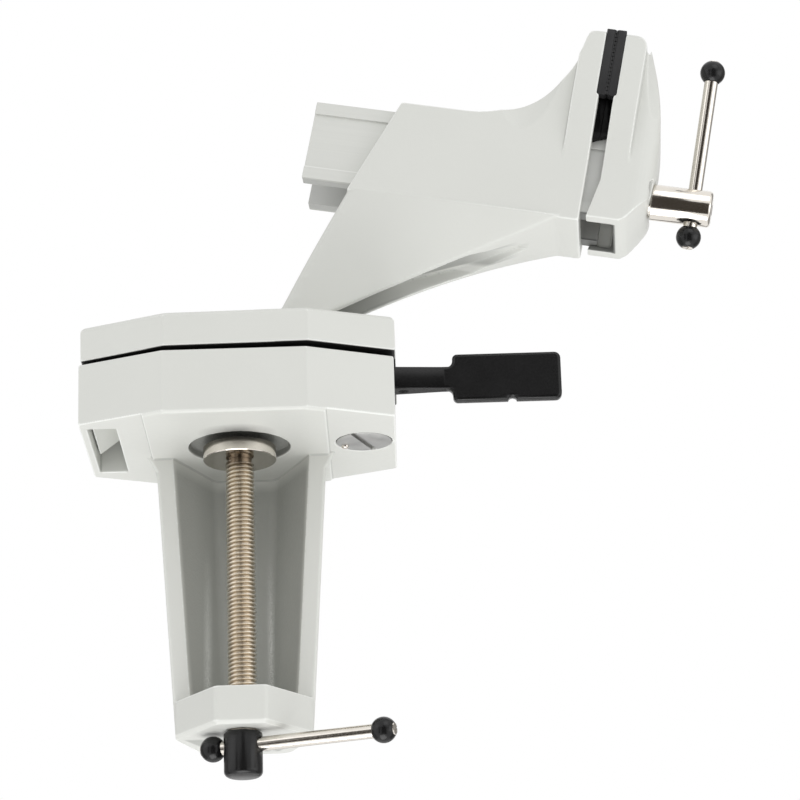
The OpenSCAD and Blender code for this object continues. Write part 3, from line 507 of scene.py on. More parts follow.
# %% Casting a CAD solid again
def cast_again(node, voxel, rounds, keep, place, evened):
    """A soft-edged copy of a CAD solid, remeshed square to its own place and then thinned out."""
    merged = bmesh.new()
    merged.from_mesh(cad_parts[node].data)
    bmesh.ops.remove_doubles(merged, verts=merged.verts, dist=1e-6)
    merged.transform(place.inverted())
    raw = as_mesh(merged, node + "_raw")
    mould, master = put_in_scene(node + "_mould", raw), put_in_scene(node + "_master", raw)
    set_up(mould.modifiers.new("Cast", "REMESH"), mode="VOXEL", voxel_size=voxel)
    set_up(mould.modifiers.new("Lay", "SHRINKWRAP"), target=master)
    if evened:
        set_up(mould.modifiers.new("Even", "NODES"), node_group=EVEN)
    set_up(mould.modifiers.new("Soften", "SMOOTH"), factor=0.5, iterations=rounds)
    set_up(mould.modifiers.new("Rim", "NODES"), node_group=RIM)
    set_up(mould.modifiers.new("Thin", "DECIMATE"), ratio=keep)
    mesh = made_real(mould, master)
    bpy.data.meshes.remove(raw)
    mesh.transform(place)
    return mesh


def add_piece(name, mesh, body, material, nodes=(), sharp=None):
    """Makes a finished piece: smooth, with its finish, riding on its body."""
    mesh.materials.clear()
    mesh.materials.append(material)
    mesh.shade_smooth()
    if sharp:
        mesh.set_sharp_from_angle(angle=math.radians(sharp))
    piece = put_in_scene(name, mesh)
    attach(piece, body)
    if nodes:
        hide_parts(*nodes)
    return piece


CASTINGS = [
    ("clamp_frame", 0.38 * MM, 3, 0.22, HERE, False),
    ("clamp_plate", 0.38 * MM, 3, 0.4, HERE, False),
    ("vise_body", 0.4 * MM, 8, 0.42, VISE, True),
    ("moving_jaw", 0.36 * MM, 12, 0.5, VISE, False),
]
for node, voxel, rounds, keep, place, evened in CASTINGS:
    cast = cast_again(node, voxel, rounds, keep, place, evened)
    add_piece(node + "_casting", cast, node, PAINT, [node])
    print(node, "cast with", len(cast.polygons), "faces")

# %% [markdown]
# ## Turned pieces
# Everything that comes off a lathe is one profile spun round an axis. The profile is a list of
# radius and height in millimetres, and a small slope at each edge stands for the tool's chamfer.


# %% Turning a profile
def turned(profile, place, segments=64):
    """A closed solid of revolution about local Z, put in its place."""
    work = bmesh.new()
    rings = []
    for radius, height in profile:
        if radius < 1e-6:
            rings.append([work.verts.new((0, 0, height * MM))])
            continue
        ring = []
        for step in range(segments):
            angle = 2 * math.pi * step / segments
            across, along = radius * math.cos(angle), radius * math.sin(angle)
            ring.append(work.verts.new((across * MM, along * MM, height * MM)))
        rings.append(ring)
    for low, high in zip(rings, rings[1:]):
        for step in range(segments):
            after = (step + 1) % segments
            corners = [low[step % len(low)], low[after % len(low)],
                       high[after % len(high)], high[step % len(high)]]
            face = list(dict.fromkeys(corners))
            if len(face) > 2:
                work.faces.new(face)
    bmesh.ops.remove_doubles(work, verts=work.verts, dist=1e-8)
    bmesh.ops.recalc_face_normals(work, faces=work.faces)
    return as_mesh(work, "turned", place)


def arc(centre_r, centre_z, radius, start, end, steps):
    """Points of a profile along an arc, in degrees from the axis of radius."""
    points = []
    for step in range(steps + 1):
        angle = math.radians(start + (end - start) * step / steps)
        points.append((centre_r + radius * math.cos(angle), centre_z + radius * math.sin(angle)))
    return points


BALL_R = 18
ball_profile = [(0, -BALL_R)] + arc(0, 0, BALL_R, -87, 87, 58) + [(0, BALL_R)]
ball_mesh = turned(ball_profile, VISE, 96)
add_piece("ball_turned", ball_mesh, "ball", STEEL, ["ball"])
print("Ball has", len(ball_mesh.polygons), "faces")

# %% [markdown]
# ### Pressure pad
# The pad is a turned disc, plated like the spindle. Its edges are hardly broken, so its rim shows as a
# clear bright band.

# %% Pad
PAD_LOW, PAD_TOP, PAD_R, PAD_BORE, SEAT_R, SEAT_DEEP = -4.8, -0.1, 12.9, 3.6, 6.3, 2.3
pad_profile = [(PAD_BORE, PAD_LOW), (PAD_R - 0.25, PAD_LOW), (PAD_R, PAD_LOW + 0.25),
               (PAD_R, PAD_TOP - 0.2), (PAD_R - 0.2, PAD_TOP), (SEAT_R, PAD_TOP),
               (SEAT_R, PAD_TOP - SEAT_DEEP), (PAD_BORE, PAD_TOP - SEAT_DEEP), (PAD_BORE, PAD_LOW)]
pad_mesh = turned(pad_profile, HERE, 96)
add_piece("pad_turned", pad_mesh, "pressure_pad", NICKEL, ["pressure_pad"], sharp=35)
print("Pad has", len(pad_mesh.polygons), "faces")

# %% [markdown]
# ### Threads
# A thread isn't a row of rings but one groove that climbs. The grid here follows the helix: going
# once round moves a point up by one pitch, and joins the row one turn further on. Each turn has five
# rows, for the flat root, the two flanks and the flat crest.


# %% Cutting a thread
PITCH, SPINDLE_R = 1.5, 5.0
THREAD_ROWS = [(0.0, 0.0), (0.10, 0.0), (0.42, 1.0), (0.58, 1.0), (0.90, 0.0)]


def threaded(start, end, crest, place, around=40):
    """A threaded rod along local Z from start to end, in millimetres, with closed ends."""
    root = crest - 0.61 * PITCH
    work = bmesh.new()
    turns = math.ceil((end - start) / PITCH) + 2
    rows = [(turn + share, root + (crest - root) * rise)
            for turn in range(turns) for share, rise in THREAD_ROWS]
    grid = []
    for climb, radius in rows:
        line = []
        for step in range(around):
            height = start + PITCH * (climb - 1 + step / around)
            inside = min(max(height, start), end)
            cut = radius if abs(inside - height) < 1e-9 else min(radius, root)
            angle = 2 * math.pi * step / around
            across, along = cut * math.cos(angle), cut * math.sin(angle)
            line.append(work.verts.new((across * MM, along * MM, inside * MM)))
        grid.append(line)
    per_turn = len(THREAD_ROWS)
    for row in range(len(grid) - per_turn - 1):
        for step in range(around):
            if step + 1 < around:
                face = (grid[row][step], grid[row][step + 1], grid[row + 1][step + 1], grid[row + 1][step])
            else:
                face = (grid[row][step], grid[row + per_turn][0],
                        grid[row + per_turn + 1][0], grid[row + 1][step])
            work.faces.new(face)
    bmesh.ops.remove_doubles(work, verts=work.verts, dist=1e-7)
    bmesh.ops.dissolve_degenerate(work, dist=1e-7, edges=work.edges)
    bmesh.ops.holes_fill(work, edges=[edge for edge in work.edges if edge.is_boundary], sides=0)
    bmesh.ops.recalc_face_normals(work, faces=work.faces)
    return as_mesh(work, "threaded", place)


def joined(*meshes):
    """Several meshes as one."""
    work = bmesh.new()
    for mesh in meshes:
        work.from_mesh(mesh)
        bpy.data.meshes.remove(mesh)
    return as_mesh(work, "joined")


KNOB_TOP = -103.0
clamp_thread = threaded(KNOB_TOP + 1.2, PAD_LOW - 0.9, SPINDLE_R, HERE)
neck_profile = [(0, PAD_LOW - 2), (4.2, PAD_LOW - 2), (4.2, PAD_LOW - 0.05), (3.5, PAD_LOW - 0.05),
                (3.5, PAD_TOP - 0.6), (3.2, PAD_TOP - 0.3), (0, PAD_TOP - 0.3)]
clamp_neck = turned(neck_profile, HERE)
clamp_tail = turned([(0, KNOB_TOP - 3), (4.9, KNOB_TOP - 3), (4.9, KNOB_TOP + 1.0), (4.4, KNOB_TOP + 1.4),
                     (0, KNOB_TOP + 1.4)], HERE)
clamp_spindle_mesh = joined(clamp_thread, clamp_neck, clamp_tail)
add_piece("clamp_spindle_threaded", clamp_spindle_mesh, "clamp_spindle", THREAD_NICKEL,
          ["clamp_spindle"], sharp=40)
print("Clamp spindle has", len(clamp_spindle_mesh.polygons), "faces")

# %% [markdown]
# ### Vise spindle
# Its head is turned from thicker bar, with a cross hole for the turning bar. The hole is cut by a
# boolean, and its rim gets a small bevel so that it catches the light.


# %% Head with a cross hole
def drilled(mesh, drill, bevel):
    """A mesh with a drill's shape cut out of it, and the edges of the cut eased."""
    block, bit = put_in_scene("drilled", mesh), put_in_scene("drill", drill)
    set_up(block.modifiers.new("Drill", "BOOLEAN"), operation="DIFFERENCE", solver="EXACT", object=bit)
    set_up(block.modifiers.new("Ease", "BEVEL"), width=bevel, segments=2, limit_method="ANGLE",
           angle_limit=math.radians(50))
    result = made_real(block, bit)
    bpy.data.meshes.remove(mesh)
    bpy.data.meshes.remove(drill)
    return result


HEAD_FROM, HEAD_TO, HEAD_R, BAR_R = 134.55, 156.27, 6.55, 2.5
head_profile = [(0, HEAD_FROM), (HEAD_R - 0.2, HEAD_FROM), (HEAD_R, HEAD_FROM + 0.2),
                (HEAD_R, HEAD_TO - 1.0), (HEAD_R - 0.3, HEAD_TO - 0.4), (HEAD_R - 1.0, HEAD_TO),
                (2.2, HEAD_TO), (1.6, HEAD_TO - 0.5), (0, HEAD_TO - 0.9)]
head_mesh = turned(head_profile, VISE_SPINDLE, 72)
drill_profile = [(0, -12), (BAR_R + 0.1, -12), (BAR_R + 0.1, 12), (0, 12)]
head_mesh = drilled(head_mesh, turned(drill_profile, VISE_BAR, 40), 0.3 * MM)
THREAD_FROM, THREAD_TO = 36.0, 118.5
vise_thread = threaded(THREAD_FROM, THREAD_TO, SPINDLE_R, VISE_SPINDLE)
vise_shank = turned([(0, 118.0), (4.4, 118.0), (4.4, 121.0), (4.98, 121.2), (4.98, HEAD_FROM + 0.4),
                     (0, HEAD_FROM + 0.4)], VISE_SPINDLE)
vise_spindle_mesh = joined(head_mesh, vise_thread, vise_shank)
add_piece("vise_spindle_turned", vise_spindle_mesh, "vise_spindle", NICKEL,
          ["vise_spindle"], sharp=40)
print("Vise spindle has", len(vise_spindle_mesh.polygons), "faces")

# %% [markdown]
# ### Turning bars and their ball ends
# Both bars are alike: a plated rod whose thinner tips go through two black balls and are riveted
# over with a cross-shaped punch. The punch marks are four small raised quarters on each tip.

# %% Bars
BALL_END_R, BALL_FLAT, TIP_R, BORE_FIT = 4.5, 3.85, 1.8, 0.04


def quarter_marks(place, side, middle, half):
    """Four raised quarters on the end of a riveted tip."""
    work = bmesh.new()
    base, top = middle + side * (half + BALL_FLAT - 0.1), middle + side * (half + BALL_FLAT + 0.34)
    for quarter in range(4):
        low, high = [], []
        outline = [(0.22, 0.22), (2.15, 0.22), (1.6, 1.6), (0.22, 2.15)]
        turn = math.radians(90 * quarter + 20)
        for x, y in outline:
            px = x * math.cos(turn) - y * math.sin(turn)
            py = x * math.sin(turn) + y * math.cos(turn)
            low.append(work.verts.new((px * MM, py * MM, base * MM)))
            high.append(work.verts.new((0.9 * px * MM, 0.9 * py * MM, top * MM)))
        work.faces.new(low)
        work.faces.new(high)
        for step in range(4):
            after = (step + 1) % 4
            work.faces.new((low[step], low[after], high[after], high[step]))
    bmesh.ops.recalc_face_normals(work, faces=work.faces)
    return as_mesh(work, "marks", place)


def bar_mesh(place, middle, half):
    """The plated rod with both tips."""
    tip, shoulder = half + BALL_FLAT, half - BALL_END_R + 1.4
    end = [(0, -tip), (TIP_R - 0.2, -tip), (TIP_R, -tip + 0.2), (TIP_R, -shoulder), (BAR_R, -shoulder)]
    profile = end + [(radius, -height) for radius, height in reversed(end)]
    profile = [(radius, height + middle) for radius, height in profile]
    marks = [quarter_marks(place, side, middle, half) for side in (1, -1)]
    return joined(turned(profile, place, 40), *marks)


def ball_end_mesh(place, middle, half, side):
    """One black ball with a flat end and a bore for the tip."""
    first = math.degrees(math.acos((BAR_R + 0.3) / BALL_END_R))
    last = math.degrees(math.asin(BALL_FLAT / BALL_END_R))
    bore = half - BALL_END_R + 1.44
    wide, narrow = BAR_R + BORE_FIT, TIP_R + BORE_FIT
    profile = [(wide, bore), (wide, half - 3.2)] + arc(0, half, BALL_END_R, -first, last, 26)
    profile += [(narrow, half + BALL_FLAT), (narrow, bore), (wide, bore)]
    profile = [(radius, side * height + middle) for radius, height in profile]
    return turned(profile, place, 48)


BARS = [
    ("vise_bar", VISE_BAR, 19.75, 30.8, {1: "vise_bar_end_upper", -1: "vise_bar_end_lower"}),
    ("clamp_bar", CLAMP_BAR, 20.1, 31.3, {1: "clamp_bar_end_right", -1: "clamp_bar_end_left"}),
]
for bar, place, middle, half, ends in BARS:
    add_piece(bar + "_rod", bar_mesh(place, middle, half), bar, NICKEL, [bar], sharp=40)
    for side, end in ends.items():
        ball_end = ball_end_mesh(place, middle, half, side)
        add_piece(end + "_ball", ball_end, bar, BLACK, [end], sharp=50)
    print(bar, "made with", len(ends), "ball ends")

# %% [markdown]
# ### Knob
# The knob under the clamp is moulded, but round, so it is turned too. Its lower edge is well rounded,
# and the bar runs in a cross hole near its top.

# %% Knob
KNOB_R, KNOB_LOW = 6.7, -118.4
knob_profile = [(0, KNOB_LOW)] + arc(KNOB_R - 1.9, KNOB_LOW + 1.9, 1.9, -90, 0, 7)
knob_profile += arc(KNOB_R - 0.8, KNOB_TOP - 0.8, 0.8, 0, 90, 4) + [(0, KNOB_TOP)]
knob_mesh = turned(knob_profile, HERE, 72)
knob_mesh = drilled(knob_mesh, turned(drill_profile, CLAMP_BAR, 40), 0.25 * MM)
add_piece("knob_moulding", knob_mesh, "clamp_spindle", BLACK, ["clamp_knob"], sharp=40)
print("Knob has", len(knob_mesh.polygons), "faces")

# %% [markdown]
# ## Slotted clamp screw
# The screw's head lies flush in the head's underside. It is a turned disc with a milled slot, and a
# small bright pin beside the slot keeps it from turning on its shank. The pin's end is domed, so that
# it catches the light.

# %% Clamp screw
SCREW = Matrix.Translation(SCREW_AXIS)
SCREW_FACE, SCREW_HEAD, SCREW_END, SCREW_HEAD_R, SHANK_R = 0.8, 5.0, 35.6, 9.8, 5.0
screw_profile = [(0, SCREW_FACE), (SCREW_HEAD_R - 0.3, SCREW_FACE),
                 (SCREW_HEAD_R - 0.05, SCREW_FACE + 0.15), (SCREW_HEAD_R, SCREW_FACE + 0.4),
                 (SCREW_HEAD_R, SCREW_HEAD), (SHANK_R, SCREW_HEAD), (SHANK_R, SCREW_END - 0.6),
                 (SHANK_R - 0.6, SCREW_END), (0, SCREW_END)]
slot_box = bmesh.new()
bmesh.ops.create_cube(slot_box, size=1)
bmesh.ops.scale(slot_box, vec=(30 * MM, 2 * MM, 3 * MM), verts=slot_box.verts)
slot_turn = Matrix.Rotation(math.radians(68), 4, "Z")
slot_mesh = as_mesh(slot_box, "driver_slot", SCREW @ Matrix.Translation((0, 0, 0.5 * MM)) @ slot_turn)
screw_mesh = drilled(turned(screw_profile, SCREW, 72), slot_mesh, 0.2 * MM)
add_piece("clamp_screw_turned", screw_mesh, "lever", STEEL, ["clamp_screw"], sharp=35)
PIN_TURN, PIN_OUT, PIN_R = math.radians(150), 7.9, 1.4
PIN = SCREW @ Matrix.Rotation(PIN_TURN, 4, "Z") @ Matrix.Translation((PIN_OUT * MM, 0, 0))
pin_profile = [(0, -0.2)] + arc(PIN_R - 1, 0.8, 1, -90, 0, 6) + [(PIN_R, 3.9), (0, 3.9)]
pin_mesh = turned(pin_profile, PIN, 32)
add_piece("lock_pin_domed", pin_mesh, "lever", NICKEL, ["screw_lock_pin"], sharp=40)
print("Clamp screw has", len(screw_mesh.polygons), "faces, its pin", len(pin_mesh.polygons))

# %% [markdown]
# ## Rail
# The rail is one extrusion, so it is drawn as a section and pushed out along the vise. A flat curve
# with a little bevel does that. The section is open below, where the nut's leg stands in it, and its
# last stretch, inside the moving jaw, is cut back from below.


# %% Extruding a section
def extruded(loop, start, end, bevel, place):
    """A section in the local X and Y, in millimetres, pushed out along Z and put in its place."""
    curve = set_up(bpy.data.curves.new("section", "CURVE"), dimensions="2D", fill_mode="BOTH")
    spline = curve.splines.new("POLY")
    spline.points.add(len(loop) - 1)
    for point, (across, up) in zip(spline.points, loop):
        point.co = (across * MM, up * MM, 0, 1)
    spline.use_cyclic_u = True
    set_up(curve, extrude=(end - start) / 2 * MM - bevel * MM, bevel_depth=bevel * MM,
           bevel_resolution=2, offset=-bevel * MM)
    mesh = made_real(put_in_scene("section", curve))
    bpy.data.curves.remove(curve)
    mesh.transform(place @ Matrix.Translation((0, 0, (start + end) / 2 * MM)))
    return mesh


ALONG_RAIL = VISE @ Matrix(((0, 0, 1, 0), (1, 0, 0, 0), (0, 1, 0, 0), (0, 0, 0, 1)))
RAIL_HALF, RAIL_LOW, RAIL_TOP, BAND, PANEL = 14.0, 76.7, 106.9, 4.6, 0.8
RAIL_START, RAIL_NOTCH, RAIL_END, NOTCH_LOW = 9.8, 116.6, 121.3, 85.7
CORE_HALF, CORE_TOP = 8.7, 99.5
inner = RAIL_HALF - PANEL
upper_side = [(inner, RAIL_TOP - BAND), (RAIL_HALF, RAIL_TOP - BAND), (RAIL_HALF, RAIL_TOP)]
lower_side = [(RAIL_HALF, RAIL_LOW), (RAIL_HALF, RAIL_LOW + BAND), (inner, RAIL_LOW + BAND)]


def rail_section(outside, low):
    """The whole section from the points of its right-hand side and the height of its open end."""
    left = [(-across, up) for across, up in reversed(outside)]
    core = [(-CORE_HALF, low), (-CORE_HALF, CORE_TOP), (CORE_HALF, CORE_TOP), (CORE_HALF, low)]
    return outside + left + core


main_section = rail_section(lower_side + upper_side, RAIL_LOW)
end_section = rail_section([(inner, NOTCH_LOW)] + upper_side, NOTCH_LOW)
rail_mesh = joined(extruded(main_section, RAIL_START, RAIL_NOTCH, 0.3, ALONG_RAIL),
                   extruded(end_section, RAIL_NOTCH - 0.7, RAIL_END, 0.3, ALONG_RAIL))
add_piece("rail_extrusion", rail_mesh, "moving_jaw", ALUMINIUM, ["rail"], sharp=35)
print("Rail has", len(rail_mesh.polygons), "faces")

# %% [markdown]
# ## Lever
# The lever is moulded in one piece: a hub round the clamp screw, an arm that gets thinner outwards, and
# a flat handle. The handle's outline has small round corners, a hollow round where the arm runs into it
# and a notch in its lower edge. The outline is pushed out like the rail, with a softer bevel.

# %% Lever
LEVER_LOW, LEVER_TOP, HANDLE_LOW, HANDLE_TOP = 19.3, 27.5, 14.6, 32.2
HANDLE_FROM, HANDLE_TO, HOLLOW, CORNER, SHOULDER = 76.0, 114.6, 2.3, 2.2, 1.7
NOTCH_AT, NOTCH_R, HUB_R, HUB_BORE = 97.0, 1.6, 9.0, 5.05
ARM_START, ARM_END, ARM_TIP, ARM_WIDE, ARM_SLIM = 50.0, 72.0, 78.0, 4.25, 2.16
outline = arc(HANDLE_TO - CORNER, HANDLE_TOP - CORNER, CORNER, 0, 90, 5)
outline += arc(HANDLE_FROM + SHOULDER, HANDLE_TOP - SHOULDER, SHOULDER, 90, 180, 5)
outline += arc(HANDLE_FROM - HOLLOW, LEVER_TOP + HOLLOW, HOLLOW, 0, -90, 5)
outline += [(ARM_END, LEVER_TOP), (ARM_END, LEVER_LOW)]
outline += arc(HANDLE_FROM - HOLLOW, LEVER_LOW - HOLLOW, HOLLOW, 90, 0, 5)
outline += arc(HANDLE_FROM + SHOULDER, HANDLE_LOW + SHOULDER, SHOULDER, 180, 270, 5)
outline += arc(NOTCH_AT, HANDLE_LOW - 0.4, NOTCH_R, 165, 15, 8)
outline += arc(HANDLE_TO - CORNER, HANDLE_LOW + CORNER, CORNER, -90, 0, 5)
ACROSS_LEVER = Matrix(((1, 0, 0, 0), (0, 0, -1, 0), (0, 1, 0, 0), (0, 0, 0, 1)))
handle_mesh = extruded(outline, -2.2, 2.2, 1.1, ACROSS_LEVER)
arm_side = [(ARM_START, -ARM_WIDE), (ARM_END, -ARM_SLIM), (ARM_TIP, -ARM_SLIM)]
arm_outline = arm_side + [(along, -across) for along, across in reversed(arm_side)]
arm_mesh = extruded(arm_outline, LEVER_LOW, LEVER_TOP, 0.5, HERE)
hub_profile = [(HUB_BORE, LEVER_LOW), (HUB_R - 0.4, LEVER_LOW), (HUB_R, LEVER_LOW + 0.4),
               (HUB_R, LEVER_TOP - 0.4), (HUB_R - 0.4, LEVER_TOP), (HUB_BORE, LEVER_TOP),
               (HUB_BORE, LEVER_LOW)]
lever_mesh = joined(handle_mesh, arm_mesh, turned(hub_profile, SCREW))
add_piece("lever_moulding", lever_mesh, "lever", BLACK, ["lever"], sharp=40)
print("Lever has", len(lever_mesh.polygons), "faces")

# %% [markdown]
# ## Jaw covers
# Two soft black covers hang over the jaws. Their meeting faces carry rows of small pyramids that grip
# the work. Geometry Nodes set the pyramids out: a grid gives the places, one four-sided cone is put on
# each, and the lot is realised and given its finish.


# %% A field of grip teeth
def grip_tree(material):
    """Rows of four-sided teeth on a grid, with their sizes as named inputs."""
    inputs = dict.fromkeys(("Width", "Height", "Tooth Radius", "Tooth Top", "Tooth Depth"), "Float")
    inputs.update({"Columns": "Int", "Rows": "Int"})
    tree, given, made = geometry_tree("grip_teeth", inputs)
    grid = tree.nodes.new("GeometryNodeMeshGrid")
    tooth = wired(tree, "GeometryNodeMeshCone", {"Vertices": 4})
    place = wired(tree, "GeometryNodeInstanceOnPoints", {"Rotation": (0, 0, math.radians(45))})
    real = tree.nodes.new("GeometryNodeRealizeInstances")
    paint = wired(tree, "GeometryNodeSetMaterial", {"Material": material})
    for source, target in (("Width", grid.inputs["Size X"]), ("Height", grid.inputs["Size Y"]),
                           ("Columns", grid.inputs["Vertices X"]), ("Rows", grid.inputs["Vertices Y"]),
                           ("Tooth Radius", tooth.inputs["Radius Bottom"]),
                           ("Tooth Top", tooth.inputs["Radius Top"]),
                           ("Tooth Depth", tooth.inputs["Depth"])):
        tree.links.new(given.outputs[source], target)
    for source, target in ((grid, place.inputs["Points"]), (tooth, place.inputs["Instance"]),
                           (place, real.inputs["Geometry"]), (real, paint.inputs["Geometry"]),
                           (paint, made.inputs["Geometry"])):
        tree.links.new(source.outputs[0], target)
    return tree


def grip_field(width, height, pitch, depth, place):
    """A mesh of grip teeth standing on local XY, put in its place."""
    carrier = put_in_scene("grip_field", bpy.data.meshes.new("grip_field"))
    modifier = set_up(carrier.modifiers.new("Grip", "NODES"), node_group=GRIP)
    sizes = {"Width": (width - pitch) * MM, "Height": (height - pitch) * MM,
             "Columns": round(width / pitch), "Rows": round(height / pitch),
             "Tooth Radius": pitch * 0.7 * MM, "Tooth Top": pitch * 0.55 * MM,
             "Tooth Depth": depth * MM}
    for item in GRIP.interface.items_tree:
        if item.in_out == "INPUT":
            modifier[item.identifier] = sizes[item.name]
    mesh = made_real(carrier)
    mesh.transform(place)
    return mesh


GRIP = grip_tree(COVER_BLACK)
print("Made the tree", GRIP.name)


# %% Covers on both jaws
def rounded_block(low, high, radius):
    """A block between two corners in the vise's millimetres, with rounded edges."""
    work = bmesh.new()
    bmesh.ops.create_cube(work, size=1)
    size = [(b - a) * MM for a, b in zip(low, high)]
    middle = [(a + b) / 2 * MM for a, b in zip(low, high)]
    bmesh.ops.scale(work, vec=size, verts=work.verts)
    bmesh.ops.bevel(work, geom=work.edges[:], offset=radius * MM, segments=3, affect="EDGES", profile=0.5)
    bmesh.ops.translate(work, vec=middle, verts=work.verts)
    return as_mesh(work, "rounded_block")


COVER_MID, COVER_T, TOOTH, TOOTH_PITCH = 113.65, 3.56, 0.5, 1.5
COVER_LOW, COVER_TOP, COVER_HALF = 121.1, 147.5, 20.5
TONGUE_T, TONGUE_HALF, TONGUE_END, APRON_LOW, RAIL_CLEAR = 2.6, 17.0, 105.7, 107.5, 14.3
ALONG_JAW = VISE @ Matrix(((1, 0, 0, 0), (0, 0, -1, 0), (0, 1, 0, 0), (0, 0, 0, 1)))


def jaw_cover(side, end_jaw):
    """One cover and its tongue, drawn from the meeting plane towards the cover's own jaw."""
    back, tongue = COVER_MID + side * COVER_T, COVER_MID + side * TONGUE_T
    face, seam = COVER_MID + side * (TOOTH + 0.05), COVER_MID + side * 0.06
    near, far = sorted((face, back))
    pad = rounded_block((near, -COVER_HALF, COVER_LOW), (far, COVER_HALF, COVER_TOP), 0.25)
    near, far = sorted((seam, tongue))
    apron = rounded_block((near, -TONGUE_HALF, APRON_LOW), (far, TONGUE_HALF, COVER_LOW + 2), 0.06)
    pad.transform(VISE)
    apron.transform(VISE)
    slope = [(seam, TONGUE_END), (tongue, end_jaw), (tongue, COVER_LOW + 1), (seam, COVER_LOW + 1)]
    legs = [extruded(slope[::side], *sorted((hand * RAIL_CLEAR, hand * TONGUE_HALF)), 0.06, ALONG_JAW)
            for hand in (-1, 1)]
    upright = Matrix.Rotation(math.radians(-90 * side), 4, "Y")
    middle = Matrix.Translation((face * MM, 0, (COVER_LOW + COVER_TOP) / 2 * MM))
    grip = grip_field(COVER_TOP - COVER_LOW - 0.3, 2 * COVER_HALF, TOOTH_PITCH, TOOTH,
                      VISE @ middle @ upright)
    return joined(pad, grip), joined(apron, *legs)


COVERS = [(-1, "jaw_cover_fixed", "vise_body", 104.6), (1, "jaw_cover_moving", "moving_jaw", 106.8)]
for side, node, body, end_jaw in COVERS:
    cover_mesh, tongue_mesh = jaw_cover(side, end_jaw)
    add_piece(node + "_grip", cover_mesh, body, COVER_BLACK, [node], sharp=40)
    # the tongues take the darker black: painted shade
    add_piece(node + "_tongue", tongue_mesh, body, SHADED_TONGUE_BLACK, sharp=40)
    print(node, "has", len(cover_mesh.polygons), "faces")

# %% [markdown]
# ## Small steel pieces
# The nut, pins, rings and rail screws are seen only from close by or through a gap. Their CAD shapes
# are right as they are, so they stay and only take a finish.

# %% Finishes on the CAD nodes that stay
KEPT = {"spindle_nut": STEEL, "nut_pin": STEEL, "rail_screws": STEEL, "spindle_ring": STEEL,
        "pad_washer": STEEL, "lever_pin": BLACK}
for node, finish in KEPT.items():
    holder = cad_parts[node].material_slots[0]
    holder.link = "OBJECT"
    holder.material = finish
print("Kept", len(KEPT), "CAD nodes")

# %% [markdown]
# ## Light, floor and camera
# The photograph looks up at the vise from below the table's height, against plain white. A world that
# is white to the camera gives that ground, and its light on the object is softer. Plated metal needs
# something darker to show too, so glossy rays see what stands round a photographer's white tent: dark
# cards in front, a dark flag on each side, and the seams where the tent's walls meet the table. Four
# soft lamps shape the castings, and the floor lies far below.


# %% World
DARK_CARDS = ((-0.36, 0.44, -0.95, 0.26), (-0.14, 0.24, 0.1, 0.45), (-0.72, -0.48, -0.62, 0.3))
CARD_TONE, CARD_EDGE, SEAM_EDGE = (0.05, 0.043, 0.036), 0.06, 0.05
WHITE = (1, 1, 1)


def dark_things(tree, x, y, z):
    """1 in the directions of the cards, less in those of the flags and seams, 0 elsewhere."""
    front = spread(tree, y, 1, 0, start=-0.35, end=-0.2)
    dark = 0
    for left, right, low, high in DARK_CARDS:
        card = product(tree, between(tree, x, left, right, CARD_EDGE),
                       between(tree, z, low, high, CARD_EDGE))
        dark = arithmetic(tree, "MAXIMUM", dark, card)
    dark = product(tree, dark, front)
    horizon = product(tree, between(tree, z, 0.02, 0.18, SEAM_EDGE), front)
    aside = product(tree, between(tree, arithmetic(tree, "ABSOLUTE", x), 0.45, 1.05, CARD_EDGE),
                    between(tree, y, 0.1, 0.88, CARD_EDGE))
    behind = product(tree, between(tree, z, -0.44, -0.22, SEAM_EDGE),
                     spread(tree, y, 0, 1, start=0.75, end=0.85))
    for patch, share in ((horizon, 0.6), (aside, 0.7), (behind, 0.85)):
        dark = arithmetic(tree, "MAXIMUM", dark, product(tree, patch, share))
    return dark


def seen_directly(tree):
    """1 for rays from the camera, or from it by way of gloss or glass."""
    rays = tree.nodes.new("ShaderNodeLightPath")
    seen = rays.outputs["Is Camera Ray"]
    for kind in ("Is Glossy Ray", "Is Transmission Ray"):
        seen = arithmetic(tree, "MAXIMUM", seen, rays.outputs[kind])
    return seen


def either(tree, factor, first, second):
    """A shader that gives way to another as a factor grows."""
    return wired(tree, "ShaderNodeMixShader", {0: factor, 1: first, 2: second}).outputs["Shader"]


def studio_world():
    world = set_up(bpy.data.worlds.new("studio"), use_nodes=True)
    tree = world.node_tree
    tree.nodes.clear()
    way = axes(tree, tree.nodes.new("ShaderNodeTexCoord").outputs["Generated"])
    walls = two_tones(tree, dark_things(tree, *way), WHITE, CARD_TONE, start=0, end=1)
    to_camera = tree.nodes.new("ShaderNodeLightPath").outputs["Is Camera Ray"]
    walls = overlaid(tree, walls, [(to_camera, WHITE)])
    fill = wired(tree, "ShaderNodeBackground", {"Color": (*WHITE, 1), "Strength": 0.86})
    seen = wired(tree, "ShaderNodeBackground", {"Color": walls, "Strength": 1})
    light = either(tree, seen_directly(tree), fill.outputs["Background"], seen.outputs["Background"])
    wired(tree, "ShaderNodeOutputWorld", {"Surface": light})
    bpy.context.scene.world = world


studio_world()
bpy.context.scene.view_settings.view_transform = "Standard"
print("World set")


# %% Lamps
def soft_lamp(name, place, aim, size, power):
    """A square soft box that points at a place."""
    lamp = set_up(bpy.data.lights.new(name, "AREA"), shape="SQUARE", size=size, energy=power)
    holder = put_in_scene(name, lamp)
    holder.location = place
    holder.rotation_euler = (Vector(aim) - Vector(place)).to_track_quat("-Z", "Y").to_euler()


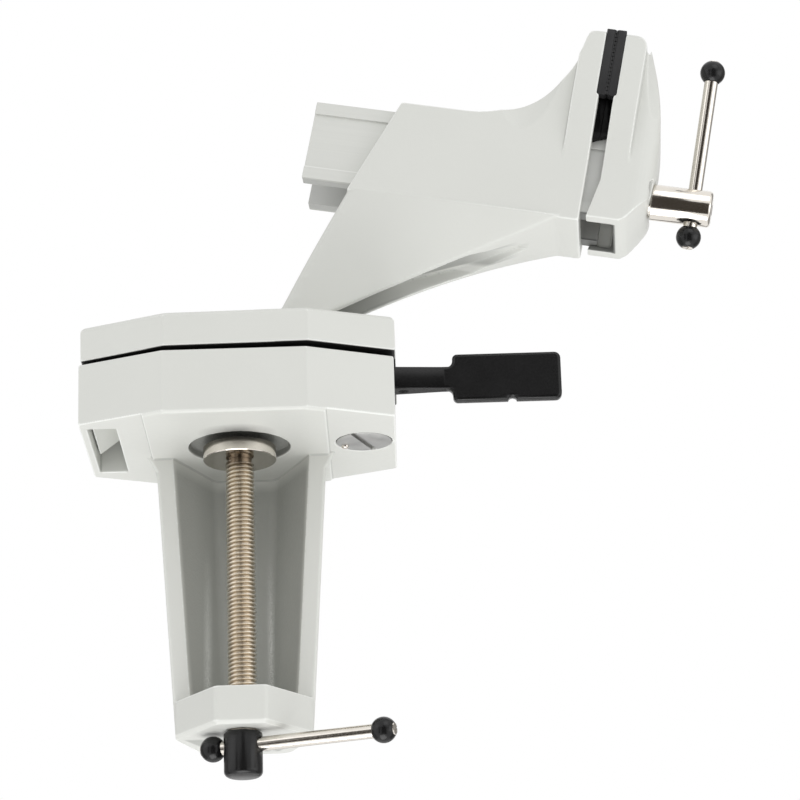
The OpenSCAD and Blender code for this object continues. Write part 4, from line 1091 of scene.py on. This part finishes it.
MIDDLE = (0.05, 0, 0.02)
soft_lamp("key", (0.55, -1.0, 1.1), MIDDLE, 0.9, 2.2)
soft_lamp("left", (-1.2, -0.7, 0.3), MIDDLE, 0.9, 1.1)
soft_lamp("right", (1.3, -0.6, -0.1), MIDDLE, 0.9, 2.5)
soft_lamp("low", (-0.05, -0.2, -1.25), MIDDLE, 0.9, 6.6)
print("Four lamps set")

# %% Floor
FLOOR_DROP, FLOOR_HALF, FLOOR_WHITE = -1.6, 1.2, 0.95
floor_mesh = bpy.data.meshes.new("floor")
corners = [(-FLOOR_HALF, -FLOOR_HALF), (FLOOR_HALF, -FLOOR_HALF), (FLOOR_HALF, FLOOR_HALF),
           (-FLOOR_HALF, FLOOR_HALF)]
floor_mesh.from_pydata([(x, y, FLOOR_DROP) for x, y in corners], [], [(0, 1, 2, 3)])
floor_paper, floor_tree, floor_shader, floor_where = blank_finish("floor_paper")
floor_tone = two_tones(floor_tree, grain(floor_tree, floor_where, 3), (0.86, 0.86, 0.86), (0.9, 0.9, 0.9))
filled(floor_tree, floor_shader, {"Base Color": floor_tone, "Roughness": 0.9})
floor_glow = floor_tree.nodes.new("ShaderNodeEmission")
seen_white = product(floor_tree, seen_directly(floor_tree), FLOOR_WHITE)
floor_skin = either(floor_tree, seen_white, floor_shader.outputs["BSDF"], floor_glow.outputs["Emission"])
filled(floor_tree, floor_tree.nodes["Material Output"], {"Surface": floor_skin})
floor_mesh.materials.append(floor_paper)
floor = put_in_scene("floor", floor_mesh)
print("Floor lies at", FLOOR_DROP)

# %% Camera
RISE, ROLL = math.radians(19.4), math.radians(1.7)
CAMERA_PLACE = (0.0571, -1.0709, -0.3610)
side_way = Vector((1, 0, 0))
up_way = Vector((0, -math.sin(RISE), math.cos(RISE)))
look_way = Vector((0, math.cos(RISE), math.sin(RISE)))
camera_right = side_way * math.cos(ROLL) - up_way * math.sin(ROLL)
camera_up = side_way * math.sin(ROLL) + up_way * math.cos(ROLL)
lens = set_up(bpy.data.cameras.new("camera"), lens=144, sensor_width=36, clip_start=0.05)
camera = put_in_scene("camera", lens)
stand = Matrix((camera_right, camera_up, -look_way)).transposed().to_4x4()
camera.matrix_world = Matrix.Translation(CAMERA_PLACE) @ stand
bpy.context.scene.camera = camera
print("Camera looks along", [round(value, 3) for value in look_way])
